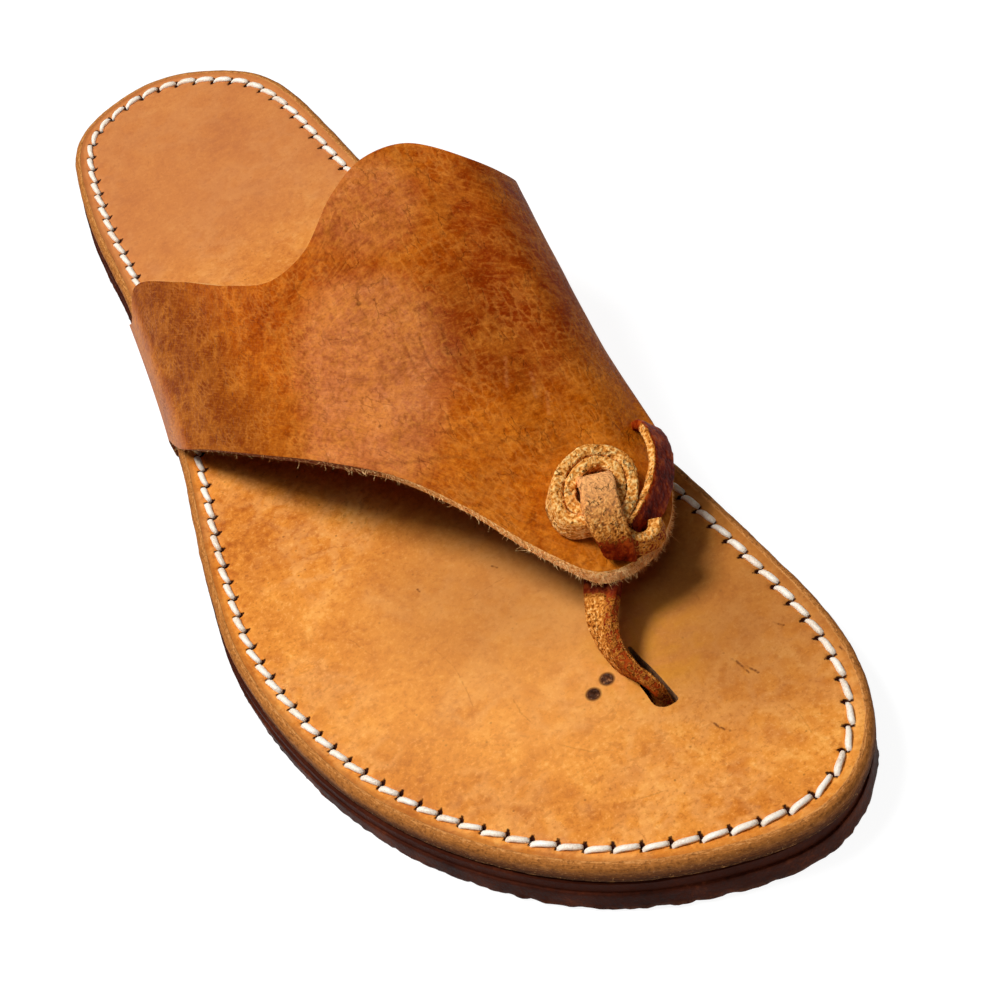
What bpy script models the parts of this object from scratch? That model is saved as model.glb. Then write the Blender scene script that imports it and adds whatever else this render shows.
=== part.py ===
"""Right toe post sandal in vegetable-tanned leather, standing on its sole.

The toe points to -Y, the inner side of the foot to +X, and the floor is z = 0.
A leather strap wraps over the foot, and its ends turn under the footbed. One leather strip is the toe post:
nailed under the footbed, it stands up through a slot and is tied on the strap in a rolled button knot.
"""

import math
from collections import namedtuple

import bmesh
import bpy
from mathutils import Vector
from mathutils.bvhtree import BVHTree

MM = 0.001

# Driving dimensions of the last
LENGTH = 241 * MM
BALL_WIDTH = 90.5 * MM
INSTEP = 43 * MM  # the strap's highest point above the footbed
GAP = 0.3 * MM  # kept between neighbouring pieces

# Sole: a rubber outsole with a step on its side, and a leather footbed
OUTSOLE = 6.4 * MM
OUTSOLE_STEP_UP = 4.1 * MM
OUTSOLE_STEP_IN = 0.45 * MM
OUTSOLE_BULGE = 1.0 * MM  # how far the outsole lies to the outer side of the footbed
OUTSOLE_ROUND = 0.5 * MM
FOOTBED = 4.3 * MM
FOOTBED_ROUND = 1.3 * MM
TOE_SPRING = 1.5 * MM
SPRING_START = 0.81  # share of the length, from the heel
SPRING_BENDS = 6
RIM_STEPS = 4
FOOTBED_BOTTOM = OUTSOLE + GAP
FOOTBED_TOP = FOOTBED_BOTTOM + FOOTBED
HEEL_Y = LENGTH / 2

# Strap: its wall, and the skived seat that turns under the footbed
WALL = 2.2 * MM
SEAT_WALL = 1.3 * MM
SEAT_STAND_OFF = 1.0 * MM  # the strap's outer face outside the footbed's edge
SEAT_RADIUS = 1.7 * MM
SEAT_BOTTOM = 5.15 * MM
SEAT_TUCK = 9.0 * MM
SEAT_ARC_STEPS = 4
SKIVE_FROM = 12 * MM
SKIVE_TO = 20 * MM
OUTER_SEAT = (0.282, 0.421)  # shares of the length at the seat's back and front
INNER_SEAT = (0.317, 0.492)
FOLD_STEPS = 3
STRAP_ROWS = 14
SEAT_MARGIN = 0.01  # share of the strap's width by which the sole's room for it is longer

# Toe post and its knot
STRIP_WIDTH = 6.4 * MM
STRIP_THICK = 2.2 * MM
STRIP_STEPS = 3
POST_GAP = 0.45 * MM  # where the strip bends inside the sole
POST_ROOM_ROWS = 8  # rows of the post, from its tail, that the sole makes room for
COIL_THICK = 1.9 * MM
COIL_TALL = 5.4 * MM
COIL_TURNS = 1.75
COIL_PITCH = 2.2 * MM
COIL_RADII = (8.7 * MM, 7.0 * MM)  # of its oval, to the middle of the outer turn
COIL_HEADING = math.radians(-37)  # of the oval's long way
COIL_CENTRE = (-0.9 * MM, 1.0 * MM)
COIL_START = math.radians(126)
COIL_POINTS = 44
SEATED = 0.35 * MM  # the knot's height over the strap
SLOT_HEEL_END = Vector((14.3 * MM, -73.9 * MM))
SLOT_TOE_END = Vector((16.1 * MM, -87.9 * MM))

# Nails through the footbed
NAIL_HEADS = [Vector((4.9 * MM, -78.9 * MM)), Vector((8.2 * MM, -77.5 * MM))]
NAIL_HEAD_RADIUS = 1.35 * MM
NAIL_CROWN = 0.15 * MM
NAIL_HEAD_TALL = 0.6 * MM
NAIL_SHANK_RADIUS = 0.65 * MM
NAIL_LENGTH = 8.6 * MM
NAIL_SIDES = 20

# The sole's rim, from the heel round the outer side to the toe and back along the inner side.
# along: share of LENGTH from the heel; across: share of BALL_WIDTH, inner side positive
Rim = namedtuple("Rim", "along across")
SOLE_RIM = [
    Rim(0.001, -0.084),
    Rim(0.033, -0.265),
    Rim(0.129, -0.332),
    Rim(0.259, -0.350),
    Rim(0.418, -0.398),
    Rim(0.562, -0.475),
    Rim(0.666, -0.501),
    Rim(0.789, -0.435),
    Rim(0.890, -0.283),
    Rim(0.966, -0.055),
    Rim(1.001, 0.244),
    Rim(0.966, 0.427),
    Rim(0.881, 0.504),
    Rim(0.748, 0.470),
    Rim(0.563, 0.388),
    Rim(0.376, 0.319),
    Rim(0.226, 0.275),
    Rim(0.081, 0.219),
    Rim(0.019, 0.081),
]

# The strap's folds, from the outer side over the instep to the inner side. Each runs straight from the
# back edge to the front edge. along and across as above; up: share of INSTEP above the footbed
Fold = namedtuple("Fold", "part back_along back_across back_up front_along front_across front_up")
STRAP_FOLDS = [
    Fold("outer wall", 0.308, -0.358, 0.163, 0.457, -0.398, 0.128),
    Fold("outer turn", 0.307, -0.323, 0.326, 0.498, -0.348, 0.267),
    Fold("outer wing", 0.365, -0.243, 0.535, 0.556, -0.265, 0.430),
    Fold("outer slope", 0.426, -0.166, 0.698, 0.606, -0.171, 0.523),
    Fold("outer dip", 0.468, -0.088, 0.826, 0.652, -0.072, 0.535),
    Fold("tongue root", 0.474, -0.011, 0.919, 0.699, 0.011, 0.477),
    Fold("crest", 0.447, 0.088, 0.988, 0.750, 0.088, 0.384),
    Fold("tongue", 0.428, 0.182, 1.000, 0.784, 0.160, 0.314),
    Fold("tongue inner", 0.428, 0.276, 0.965, 0.786, 0.227, 0.274),
    Fold("inner dip", 0.460, 0.376, 0.872, 0.772, 0.315, 0.244),
    Fold("inner turn", 0.460, 0.447, 0.657, 0.743, 0.371, 0.233),
    Fold("inner wing", 0.417, 0.436, 0.465, 0.691, 0.417, 0.267),
    Fold("inner wall", 0.359, 0.404, 0.256, 0.620, 0.419, 0.186),
    Fold("inner low", 0.330, 0.354, 0.116, 0.550, 0.406, 0.093),
]

# The toe post from its nailed tail up to the strap, in mm. The strip's width points along heading, in degrees
# from +X towards +Y, and climbs by rise
Post = namedtuple("Post", "x y z heading rise")
POST_PATH = [
    Post(2.6, -76.2, 5.2, -83, 0),
    Post(8.2, -79.6, 5.2, -83, 0),
    Post(12.3, -82.1, 5.3, -83, 0),
    Post(14.0, -82.9, 6.5, -84, 0),
    Post(14.1, -83.0, 9.0, -84, 0),
    Post(13.3, -82.2, 11.7, -83, 22),
    Post(11.9, -79.6, 13.6, -80, 48),
    Post(11.1, -75.9, 15.4, -72, 50),
    Post(12.0, -71.2, 17.7, -54, 34),
    Post(15.0, -66.8, 20.2, -38, 10),
    Post(18.0, -62.0, 22.9, -28, -6),
]

# The same strip from the strap's slit over the coil, in the knot's own mm: inward towards +X, forward towards
# the toe and up from the strap. Its width points along heading, from inward towards forward, and climbs by rise
Knot = namedtuple("Knot", "inward forward up heading rise width")
TAB_PATH = [
    Knot(0.2, 0.9, -1.6, 14, 4, 6.4),
    Knot(0.2, -0.1, 1.8, 8, 2, 6.4),
    Knot(0.1, -0.3, 4.6, 6, 0, 6.2),
    Knot(-0.4, 1.2, 6.4, 8, 0, 6.2),
    Knot(-1.4, 4.2, 6.8, 8, 0, 6.2),
    Knot(-1.8, 7.2, 6.3, 9, -1, 6.4),
    Knot(-1.3, 9.8, 4.6, 14, -2, 6.4),
    Knot(-0.6, 11.7, 2.4, 20, -3, 6.0),
    Knot(-0.1, 12.5, 0.9, 24, -3, 5.4),
]

# The band, which comes out of its own slit and leans round the coil's inner side, and the small loop below it.
# Here up is from the plane that touches the strap at the knot's middle
BAND_PATH = [
    Knot(15.4, -10.6, -5.6, -150, 22, 4.4),
    Knot(15.3, -9.7, -2.6, -155, 28, 4.4),
    Knot(15.1, -8.5, -0.1, -158, 34, 4.8),
    Knot(14.7, -6.4, 1.9, -168, 40, 5.5),
    Knot(14.3, -3.5, 2.7, 173, 42, 6.1),
    Knot(13.4, -0.6, 2.8, 179, 42, 6.3),
    Knot(12.0, 2.0, 2.8, 185, 42, 6.4),
    Knot(10.1, 4.5, 2.9, 193, 43, 6.4),
    Knot(7.8, 6.7, 2.9, 202, 46, 6.2),
    Knot(5.3, 8.4, 2.9, 212, 52, 5.8),
    Knot(3.2, 9.4, 2.8, 220, 58, 5.2),
]
LOOP_PATH = [
    Knot(1.2, 9.7, 2.5, -10, 62, 3.6),
    Knot(2.3, 11.3, 2.4, -40, 60, 3.6),
    Knot(4.0, 12.1, 2.3, -72, 60, 3.6),
    Knot(5.9, 11.9, 2.3, -112, 60, 3.6),
    Knot(7.3, 10.7, 2.4, -150, 62, 3.6),
    Knot(7.7, 9.2, 2.6, 178, 66, 3.4),
]
BAND_THICK = 1.9 * MM

# The slot's edges each side of the line between its ends, in mm; share: along that line from the heel end
Slot = namedtuple("Slot", "share outer inner")
SLOT_EDGES = [
    Slot(0.0, 0.3, 0.2),
    Slot(0.2, 1.7, 0.35),
    Slot(0.45, 2.9, 0.4),
    Slot(0.7, 3.3, 0.4),
    Slot(0.9, 3.5, 0.35),
    Slot(1.0, 2.2, 0.2),
]

# The knot's middle on the strap, and the strap's slope there
KNOT_AT = Vector((20.19 * MM, -54.75 * MM, 28.17 * MM))
KNOT_UP = Vector((0.238, -0.334, 0.912)).normalized()
KNOT_INWARD = Vector((0.968, 0, -0.253))
KNOT_FORWARD = KNOT_INWARD.cross(KNOT_UP)


def collection(name):
    made = bpy.data.collections.new(name)
    bpy.context.scene.collection.children.link(made)
    return made


def material(name, colour, roughness, metallic=0.0):
    made = bpy.data.materials.new(name)
    made.use_nodes = True
    surface = made.node_tree.nodes["Principled BSDF"]
    surface.inputs["Base Color"].default_value = (*colour, 1)
    surface.inputs["Roughness"].default_value = roughness
    surface.inputs["Metallic"].default_value = metallic
    return made


def finish(obj, group, made_of=None, smooth=35):
    """Moves an object to its collection, with its material and smooth shading between sharp edges."""
    for held_by in list(obj.users_collection):
        held_by.objects.unlink(obj)
    group.objects.link(obj)
    if made_of is None:
        obj.hide_render = True
        obj.display_type = "WIRE"
    else:
        obj.data.materials.append(made_of)
    obj.data.shade_smooth()
    obj.data.set_sharp_from_angle(angle=math.radians(smooth))
    return obj


def spline(points, steps, closed=False, tension=0.5):
    """Points of a Catmull-Rom curve: tension 0 spaces its knots evenly, 0.5 by the chords' roots."""
    if closed:
        held = [points[-1], *points, points[0], points[1]]
    else:
        held = [2 * points[0] - points[1], *points, 2 * points[-1] - points[-2]]
    curve = []
    for p0, p1, p2, p3 in zip(held, held[1:], held[2:], held[3:]):
        t1 = (p1 - p0).length ** tension
        t2 = t1 + (p2 - p1).length ** tension
        t3 = t2 + (p3 - p2).length ** tension
        for step in range(steps):
            t = t1 + (t2 - t1) * step / steps
            a1 = p0.lerp(p1, t / t1)
            a2 = p1.lerp(p2, (t - t1) / (t2 - t1))
            a3 = p2.lerp(p3, (t - t2) / (t3 - t2))
            b1 = a1.lerp(a2, t / t2)
            b2 = a2.lerp(a3, (t - t1) / (t3 - t1))
            curve.append(b1.lerp(b2, (t - t1) / (t2 - t1)))
    if not closed:
        curve.append(points[-1].copy())
    return curve


def sole_rim(shift=0.0, inset=0.0):
    """The sole's outline as plane points, moved to the outer side by shift and inwards by inset."""
    held = [Vector((rim.across * BALL_WIDTH, HEEL_Y - rim.along * LENGTH)) for rim in SOLE_RIM]
    curve = spline(held, RIM_STEPS, closed=True, tension=0)
    moved = []
    for before, point, after in zip(curve[-1:] + curve, curve, curve[1:] + curve[:1]):
        run = (after - before).normalized()
        moved.append(point + Vector((-run.y, run.x)) * inset - Vector((shift, 0)))
    return moved


RIM = sole_rim()


def rim_x(y, side):
    """Where the footbed's edge lies across the foot: side is -1 for the outer edge and 1 for the inner."""
    found = []
    for start, end in zip(RIM, RIM[1:] + RIM[:1]):
        if (start.y - y) * (end.y - y) <= 0 and start.y != end.y:
            found.append(start.lerp(end, (y - start.y) / (end.y - start.y)).x)
    return max(found, key=lambda x: side * x)


def slab(name, outline, bottom, top):
    """A flat piece between two heights from a closed outline: a filled 2D curve, made a mesh."""
    curve = bpy.data.curves.new(name, "CURVE")
    curve.dimensions = "2D"
    curve.fill_mode = "BOTH"
    curve.extrude = (top - bottom) / 2
    line = curve.splines.new("POLY")
    line.points.add(len(outline) - 1)
    for held, point in zip(line.points, outline):
        held.co = (point.x, point.y, 0, 1)
    line.use_cyclic_u = True
    drawn = bpy.data.objects.new(name, curve)
    bpy.context.scene.collection.objects.link(drawn)
    bpy.context.view_layer.update()
    mesh = bpy.data.meshes.new_from_object(drawn.evaluated_get(bpy.context.evaluated_depsgraph_get()))
    bpy.data.objects.remove(drawn)
    form = bmesh.new()
    form.from_mesh(mesh)
    bmesh.ops.remove_doubles(form, verts=form.verts, dist=1e-6)
    bmesh.ops.dissolve_limit(form, angle_limit=0.001, verts=form.verts, edges=form.edges)
    bmesh.ops.translate(form, verts=form.verts, vec=(0, 0, (top + bottom) / 2))
    bmesh.ops.recalc_face_normals(form, faces=form.faces)
    form.to_mesh(mesh)
    form.free()
    obj = bpy.data.objects.new(name, mesh)
    bpy.context.scene.collection.objects.link(obj)
    return obj


def round_and_spring(obj, height, radius):
    """Rounds the rim at one height, then bends the forefoot up by the toe spring."""
    form = bmesh.new()
    form.from_mesh(obj.data)
    rim = [edge for edge in form.edges if all(abs(vert.co.z - height) < 1e-6 for vert in edge.verts)]
    bmesh.ops.bevel(form, geom=rim, offset=radius, segments=3, profile=0.5, affect="EDGES")
    spring_y = HEEL_Y - SPRING_START * LENGTH
    reach = (1 - SPRING_START) * LENGTH
    for bend in range(SPRING_BENDS):
        everything = form.verts[:] + form.edges[:] + form.faces[:]
        place = (0, spring_y - reach * bend / SPRING_BENDS, 0)
        bmesh.ops.bisect_plane(form, geom=everything, plane_co=place, plane_no=(0, 1, 0), dist=1e-6)
    for vert in form.verts:
        vert.co.z += TOE_SPRING * max(0, (spring_y - vert.co.y) / reach) ** 2
    form.to_mesh(obj.data)
    form.free()


def sheet(name, rows, thick, offset=0.0, thin=None):
    """A leather sheet: an open grid through the rows, given its thickness by Solidify.

    thin(point) returns 0 where the sheet is skived down to SEAT_WALL and 1 where it is whole.
    """
    across = len(rows[0])
    points = [point for row in rows for point in row]
    faces = []
    for row in range(len(rows) - 1):
        for place in range(across - 1):
            corner = row * across + place
            faces.append((corner, corner + across, corner + across + 1, corner + 1))
    mesh = bpy.data.meshes.new(name)
    mesh.from_pydata(points, [], faces)
    obj = bpy.data.objects.new(name, mesh)
    bpy.context.scene.collection.objects.link(obj)
    solid = obj.modifiers.new("thickness", "SOLIDIFY")
    solid.thickness = thick
    solid.offset = offset
    if thin:
        group = obj.vertex_groups.new(name="whole")
        for vert in mesh.vertices:
            group.add([vert.index], thin(vert.co), "REPLACE")
        solid.vertex_group = group.name
        solid.thickness_vertex_group = SEAT_WALL / thick
    return obj


def combine(target, tool, operation):
    cut = target.modifiers.new(tool.name, "BOOLEAN")
    cut.operation = operation
    cut.solver = "EXACT"
    cut.object = tool


# Strap


def seat_profile(share, side):
    """The strap's outer face from its tucked end to the footbed's top, at a share from back to front."""
    back, front = OUTER_SEAT if side < 0 else INNER_SEAT
    y = HEEL_Y - (back + (front - back) * share) * LENGTH
    face = rim_x(y, side) + side * SEAT_STAND_OFF
    turn = SEAT_BOTTOM + SEAT_RADIUS
    profile = [Vector((face - side * (SEAT_RADIUS + SEAT_TUCK), y, SEAT_BOTTOM))]
    for step in range(SEAT_ARC_STEPS + 1):
        angle = math.pi / 2 * step / SEAT_ARC_STEPS
        x = face - side * SEAT_RADIUS * (1 - math.sin(angle))
        profile.append(Vector((x, y, turn - SEAT_RADIUS * math.cos(angle))))
    profile.append(Vector((face, y, FOOTBED_TOP)))
    return profile


def fold_point(fold, share):
    back = Vector((fold.back_along, fold.back_across, fold.back_up))
    front = Vector((fold.front_along, fold.front_across, fold.front_up))
    along, across, up = back.lerp(front, share)
    return Vector((across * BALL_WIDTH, HEEL_Y - along * LENGTH, FOOTBED_TOP + up * INSTEP))


def strap_rows(margin=0.0):
    """The strap's outer face, a row for each step from the back edge to the front edge.

    margin is the share by which the rows run past both edges.
    """
    rows = []
    for row in range(STRAP_ROWS + 1):
        share = -margin + (1 + 2 * margin) * row / STRAP_ROWS
        outer = seat_profile(share, -1)
        inner = seat_profile(share, 1)[::-1]
        over = [outer[-2], outer[-1]]
        over += [fold_point(fold, share) for fold in STRAP_FOLDS]
        over += [inner[0], inner[1]]
        rows.append(outer[:-2] + spline(over, FOLD_STEPS) + inner[2:])
    return rows


def seat_cutter(name, side):
    """The room that one end of the strap takes in the sole: its seat, grown by the gap on every side."""
    seat_columns = SEAT_ARC_STEPS + 1 + FOLD_STEPS + 1
    rows = []
    for row in strap_rows(SEAT_MARGIN):
        seat = row[:seat_columns] if side < 0 else row[-seat_columns:]
        tucked = 0 if side < 0 else -1
        seat[tucked] = seat[tucked] - Vector((side * GAP, 0, 0))
        rows.append(seat)
    room = SEAT_WALL + 2 * GAP
    return sheet(name, rows, room, offset=2 * GAP / room - 1)


def skive(point):
    return min(1, max(0, (point.z - SKIVE_FROM) / (SKIVE_TO - SKIVE_FROM)))


# Toe post and knot


def pointing(heading, rise, first, second, up):
    """A direction from its heading, first towards second, and its rise towards up."""
    around = math.radians(heading)
    lift = math.radians(rise)
    level = first * math.cos(around) + second * math.sin(around)
    return level * math.cos(lift) + up * math.sin(lift)


def strip(name, path, asides, thick, grow=0.0):
    """A flat strip along a smooth path; asides reach from its middle to its edge, grow widens every side."""
    path = [path[0] + (path[0] - path[1]).normalized() * grow, *path[1:]]
    rows = []
    for point, aside in zip(spline(path, STRIP_STEPS), spline(asides, STRIP_STEPS, tension=0)):
        reach = aside + aside.normalized() * grow
        rows.append([point - reach, point, point + reach])
    return sheet(name, rows, thick + 2 * grow)


def post_line():
    """The toe post's middle line and the way its width lies, up to the strap."""
    path = [Vector((post.x, post.y, post.z)) * MM for post in POST_PATH]
    axes = (Vector((1, 0, 0)), Vector((0, 1, 0)), Vector((0, 0, 1)))
    asides = [pointing(post.heading, post.rise, *axes) * STRIP_WIDTH / 2 for post in POST_PATH]
    return path, asides


def knot_point(inward, forward, up):
    """A point over the plane that touches the strap at the knot's middle."""
    return KNOT_AT + KNOT_INWARD * inward + KNOT_FORWARD * forward + KNOT_UP * up


def on_strap(strap, inward, forward, up):
    """A point over the strap's own face."""
    far = 20 * MM
    foot = strap.ray_cast(knot_point(inward, forward, far), -KNOT_UP)[0]
    return foot + KNOT_UP * up


def knot_asides(rows):
    axes = (KNOT_INWARD, KNOT_FORWARD, KNOT_UP)
    return [pointing(row.heading, row.rise, *axes) * row.width / 2 * MM for row in rows]


def coil(strap):
    """The rolled end of the strip: an oval spiral wall that stands on the strap."""
    rows = []
    for step in range(COIL_POINTS + 1):
        turned = COIL_TURNS * step / COIL_POINTS
        angle = COIL_START - 2 * math.pi * turned
        long_way = (COIL_RADII[0] - COIL_PITCH * turned) * math.cos(angle)
        short_way = (COIL_RADII[1] - COIL_PITCH * turned) * math.sin(angle)
        inward = COIL_CENTRE[0] + long_way * math.cos(COIL_HEADING) - short_way * math.sin(COIL_HEADING)
        forward = COIL_CENTRE[1] + long_way * math.sin(COIL_HEADING) + short_way * math.cos(COIL_HEADING)
        foot = on_strap(strap, inward, forward, SEATED)
        rows.append([foot, foot + KNOT_UP * COIL_TALL])
    return sheet("coil", rows, COIL_THICK)


def nail(name, place, grow=0.0):
    """A turned nail, head up; grow makes the hole that it sits in."""
    head = NAIL_HEAD_RADIUS + grow
    shank = NAIL_SHANK_RADIUS + grow
    under = -NAIL_HEAD_TALL - grow
    tip = -NAIL_LENGTH - grow
    if grow:
        profile = [(0, MM), (head, MM), (head, under), (shank, under), (shank, tip), (0, tip)]
    else:
        profile = [(0, NAIL_CROWN), (head * 0.6, NAIL_CROWN * 0.8), (head, 0), (head, under), (shank, under)]
        profile += [(shank, tip + 2 * shank), (0, tip)]
    mesh = bpy.data.meshes.new(name)
    edges = [(place, place + 1) for place in range(len(profile) - 1)]
    mesh.from_pydata([(x, 0, z) for x, z in profile], edges, [])
    obj = bpy.data.objects.new(name, mesh)
    bpy.context.scene.collection.objects.link(obj)
    obj.location = (place.x, place.y, FOOTBED_TOP)
    turned = obj.modifiers.new("turned", "SCREW")
    turned.steps = NAIL_SIDES
    turned.render_steps = NAIL_SIDES
    turned.use_merge_vertices = True
    turned.merge_threshold = 0.00001
    return obj


def slot_outline():
    """The slot in the footbed: straight on its inner side, bulging to the outer side towards the toe."""
    run = SLOT_TOE_END - SLOT_HEEL_END
    outwards = Vector((run.y, -run.x)).normalized()
    outer = [SLOT_HEEL_END + run * edge.share + outwards * edge.outer * MM for edge in SLOT_EDGES]
    inner = [SLOT_HEEL_END + run * edge.share - outwards * edge.inner * MM for edge in SLOT_EDGES]
    return spline(outer + inner[::-1], 3, closed=True)


def build():
    for obj in list(bpy.data.objects):
        bpy.data.objects.remove(obj)
    parts = collection("toe_post_sandal")
    cutters = collection("cutters")
    rubber = material("dark_brown_rubber", (0.045, 0.017, 0.010), 0.75)
    insole = material("tan_leather", (0.62, 0.27, 0.075), 0.55)
    strap_leather = material("saddle_leather", (0.42, 0.13, 0.025), 0.42)
    suede = material("suede_strip", (0.40, 0.18, 0.07), 0.85)
    iron = material("dark_iron", (0.06, 0.035, 0.025), 0.5, 0.7)

    upper = sheet("upper", strap_rows(), WALL, offset=-1, thin=skive)
    strap = BVHTree.FromPolygons(
        [vert.co for vert in upper.data.vertices], [face.vertices[:] for face in upper.data.polygons]
    )

    outsole = slab("outsole", sole_rim(OUTSOLE_BULGE), 0, OUTSOLE_STEP_UP)
    round_and_spring(outsole, 0, OUTSOLE_ROUND)
    band = slab("upper_band", sole_rim(OUTSOLE_BULGE, OUTSOLE_STEP_IN), OUTSOLE_STEP_UP - 2 * MM, OUTSOLE)
    round_and_spring(band, OUTSOLE, GAP)
    combine(outsole, band, "UNION")
    footbed = slab("footbed", RIM, FOOTBED_BOTTOM, FOOTBED_TOP)
    round_and_spring(footbed, FOOTBED_TOP, FOOTBED_ROUND)

    post_path, post_asides = post_line()
    tab_path = [on_strap(strap, row.inward * MM, row.forward * MM, row.up * MM + SEATED) for row in TAB_PATH]
    band_path = [knot_point(row.inward * MM, row.forward * MM, row.up * MM) for row in BAND_PATH]
    loop_path = [knot_point(row.inward * MM, row.forward * MM, row.up * MM) for row in LOOP_PATH]
    band_asides = knot_asides(BAND_PATH)
    path = post_path + tab_path
    asides = post_asides + knot_asides(TAB_PATH)
    toe_thong = strip("toe_thong", path, asides, STRIP_THICK)
    joined = [
        coil(strap),
        strip("band", band_path, band_asides, BAND_THICK),
        strip("loop", loop_path, knot_asides(LOOP_PATH), BAND_THICK),
    ]
    for tool in joined:
        combine(toe_thong, tool, "UNION")

    post_room = strip("post_room", path[:POST_ROOM_ROWS], asides[:POST_ROOM_ROWS], STRIP_THICK, POST_GAP)
    under_strap = len(POST_PATH) - 2
    in_coil = len(POST_PATH) + 2
    slit = strip("slit", path[under_strap:in_coil], asides[under_strap:in_coil], STRIP_THICK, GAP)
    band_slit = strip("band_slit", band_path[:4], band_asides[:4], BAND_THICK, GAP)
    slot = slab("slot", slot_outline(), FOOTBED_BOTTOM - MM, FOOTBED_TOP + MM)
    seats = [seat_cutter("outer_seat", -1), seat_cutter("inner_seat", 1)]
    nails = [nail(f"nail_{count}", place) for count, place in enumerate(NAIL_HEADS, 1)]
    holes = [nail(f"nail_hole_{count}", place, GAP) for count, place in enumerate(NAIL_HEADS, 1)]

    for tool in [*seats, post_room, slot, *holes]:
        combine(footbed, tool, "DIFFERENCE")
    for tool in [*seats, post_room, *holes]:
        combine(outsole, tool, "DIFFERENCE")
    for tool in [slit, band_slit]:
        combine(upper, tool, "DIFFERENCE")
    for tool in holes:
        combine(toe_thong, tool, "DIFFERENCE")

    finish(outsole, parts, rubber)
    finish(footbed, parts, insole)
    finish(upper, parts, strap_leather)
    finish(toe_thong, parts, suede)
    for obj in nails:
        finish(obj, parts, iron)
    for obj in [band, *joined, post_room, slit, band_slit, slot, *seats, *holes]:
        finish(obj, cutters)


build()
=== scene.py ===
import bpy
import bmesh
import math
import random
from mathutils import Matrix, Vector, noise
from mathutils.bvhtree import BVHTree


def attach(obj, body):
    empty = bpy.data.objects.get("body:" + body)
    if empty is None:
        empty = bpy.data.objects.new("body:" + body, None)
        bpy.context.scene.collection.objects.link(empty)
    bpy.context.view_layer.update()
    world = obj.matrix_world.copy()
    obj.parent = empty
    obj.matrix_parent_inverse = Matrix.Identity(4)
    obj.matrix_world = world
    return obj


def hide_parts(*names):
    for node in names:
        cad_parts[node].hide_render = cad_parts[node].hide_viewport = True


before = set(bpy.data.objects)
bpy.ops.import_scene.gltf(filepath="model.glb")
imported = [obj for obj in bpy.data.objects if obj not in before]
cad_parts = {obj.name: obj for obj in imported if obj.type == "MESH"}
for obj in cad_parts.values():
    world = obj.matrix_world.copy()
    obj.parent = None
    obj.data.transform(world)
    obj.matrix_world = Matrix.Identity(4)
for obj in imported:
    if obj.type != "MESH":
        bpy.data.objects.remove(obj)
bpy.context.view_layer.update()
mm = 0.001
finest = 0.25 * mm  # the smallest grain worth drawing
upward = Vector((0, 0, 1))
print("frame loaded")


# Handling objects


def pick(obj):
    if bpy.context.mode != "OBJECT":
        bpy.ops.object.mode_set(mode="OBJECT")
    bpy.ops.object.select_all(action="DESELECT")
    obj.select_set(True)
    bpy.context.view_layer.objects.active = obj


def edit(obj, selected, kind="VERT"):
    # Starts editing with everything selected, or nothing; pick(obj) ends it
    pick(obj)
    bpy.ops.object.mode_set(mode="EDIT")
    bpy.ops.mesh.select_mode(type=kind)
    bpy.ops.mesh.select_all(action="SELECT" if selected else "DESELECT")


def placed(name, data):
    obj = bpy.data.objects.new(name, data)
    bpy.context.scene.collection.objects.link(obj)
    return obj


def applyModifiers(obj):
    pick(obj)
    for modifier in list(obj.modifiers):
        bpy.ops.object.modifier_apply(modifier=modifier.name)


def smoothed(obj, degrees):
    pick(obj)
    bpy.ops.object.shade_smooth_by_angle(angle=math.radians(degrees))
    return obj


def gridSheet(name, rows, uvRows=None):
    # A grid primitive laid on rows of points, and on a pair of UV values for each where they are given
    across = len(rows[0])
    bpy.ops.object.select_all(action="DESELECT")
    bpy.ops.mesh.primitive_grid_add(x_subdivisions=across - 1, y_subdivisions=len(rows) - 1, size=1)
    obj = bpy.context.object
    obj.name = name
    obj.data.name = name
    for vert in obj.data.vertices:
        vert.co = rows[vert.index // across][vert.index % across]
    if uvRows:
        layer = obj.data.uv_layers.active.data
        for loop in obj.data.loops:
            layer[loop.index].uv = uvRows[loop.vertex_index // across][loop.vertex_index % across]
    return obj


def closedShell(name, rows, uvRows=None):
    # The same with each row joined to its own start and both ends capped, all faces outwards.
    # A row of UV pairs holds one pair more than its row of points
    obj = gridSheet(name, [row + row[:1] for row in rows], uvRows)
    edit(obj, True)
    bpy.ops.mesh.remove_doubles(threshold=1e-7)
    edit(obj, False, "EDGE")
    bpy.ops.mesh.select_non_manifold()
    bpy.ops.mesh.fill_holes(sides=0)
    bpy.ops.mesh.select_all(action="SELECT")
    bpy.ops.mesh.normals_make_consistent(inside=False)
    pick(obj)
    return obj


def joinedCopies(name, template, places):
    # One mesh from many copies of a small template, a matrix for each
    verts = []
    faces = []
    for place in places:
        first = len(verts)
        verts += [place @ vert.co for vert in template.data.vertices]
        faces += [[first + index for index in face.vertices] for face in template.data.polygons]
    mesh = bpy.data.meshes.new(name)
    mesh.from_pydata(verts, [], faces)
    bpy.data.objects.remove(template)
    return smoothed(placed(name, mesh), 60)


def holdPlaces(obj, count):
    # Stand-ins for a piece's finishes, so that its faces can tell them apart
    for _ in range(count):
        obj.data.materials.append(bpy.data.materials.new("held"))


def finished(obj, materials, slotName, *nodes):
    kinds = [face.material_index for face in obj.data.polygons]
    obj.data.materials.clear()
    for material in materials if isinstance(materials, list) else [materials]:
        obj.data.materials.append(material)
    obj.data.polygons.foreach_set("material_index", kinds)
    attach(obj, "root")
    if nodes:
        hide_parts(*nodes)


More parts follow.
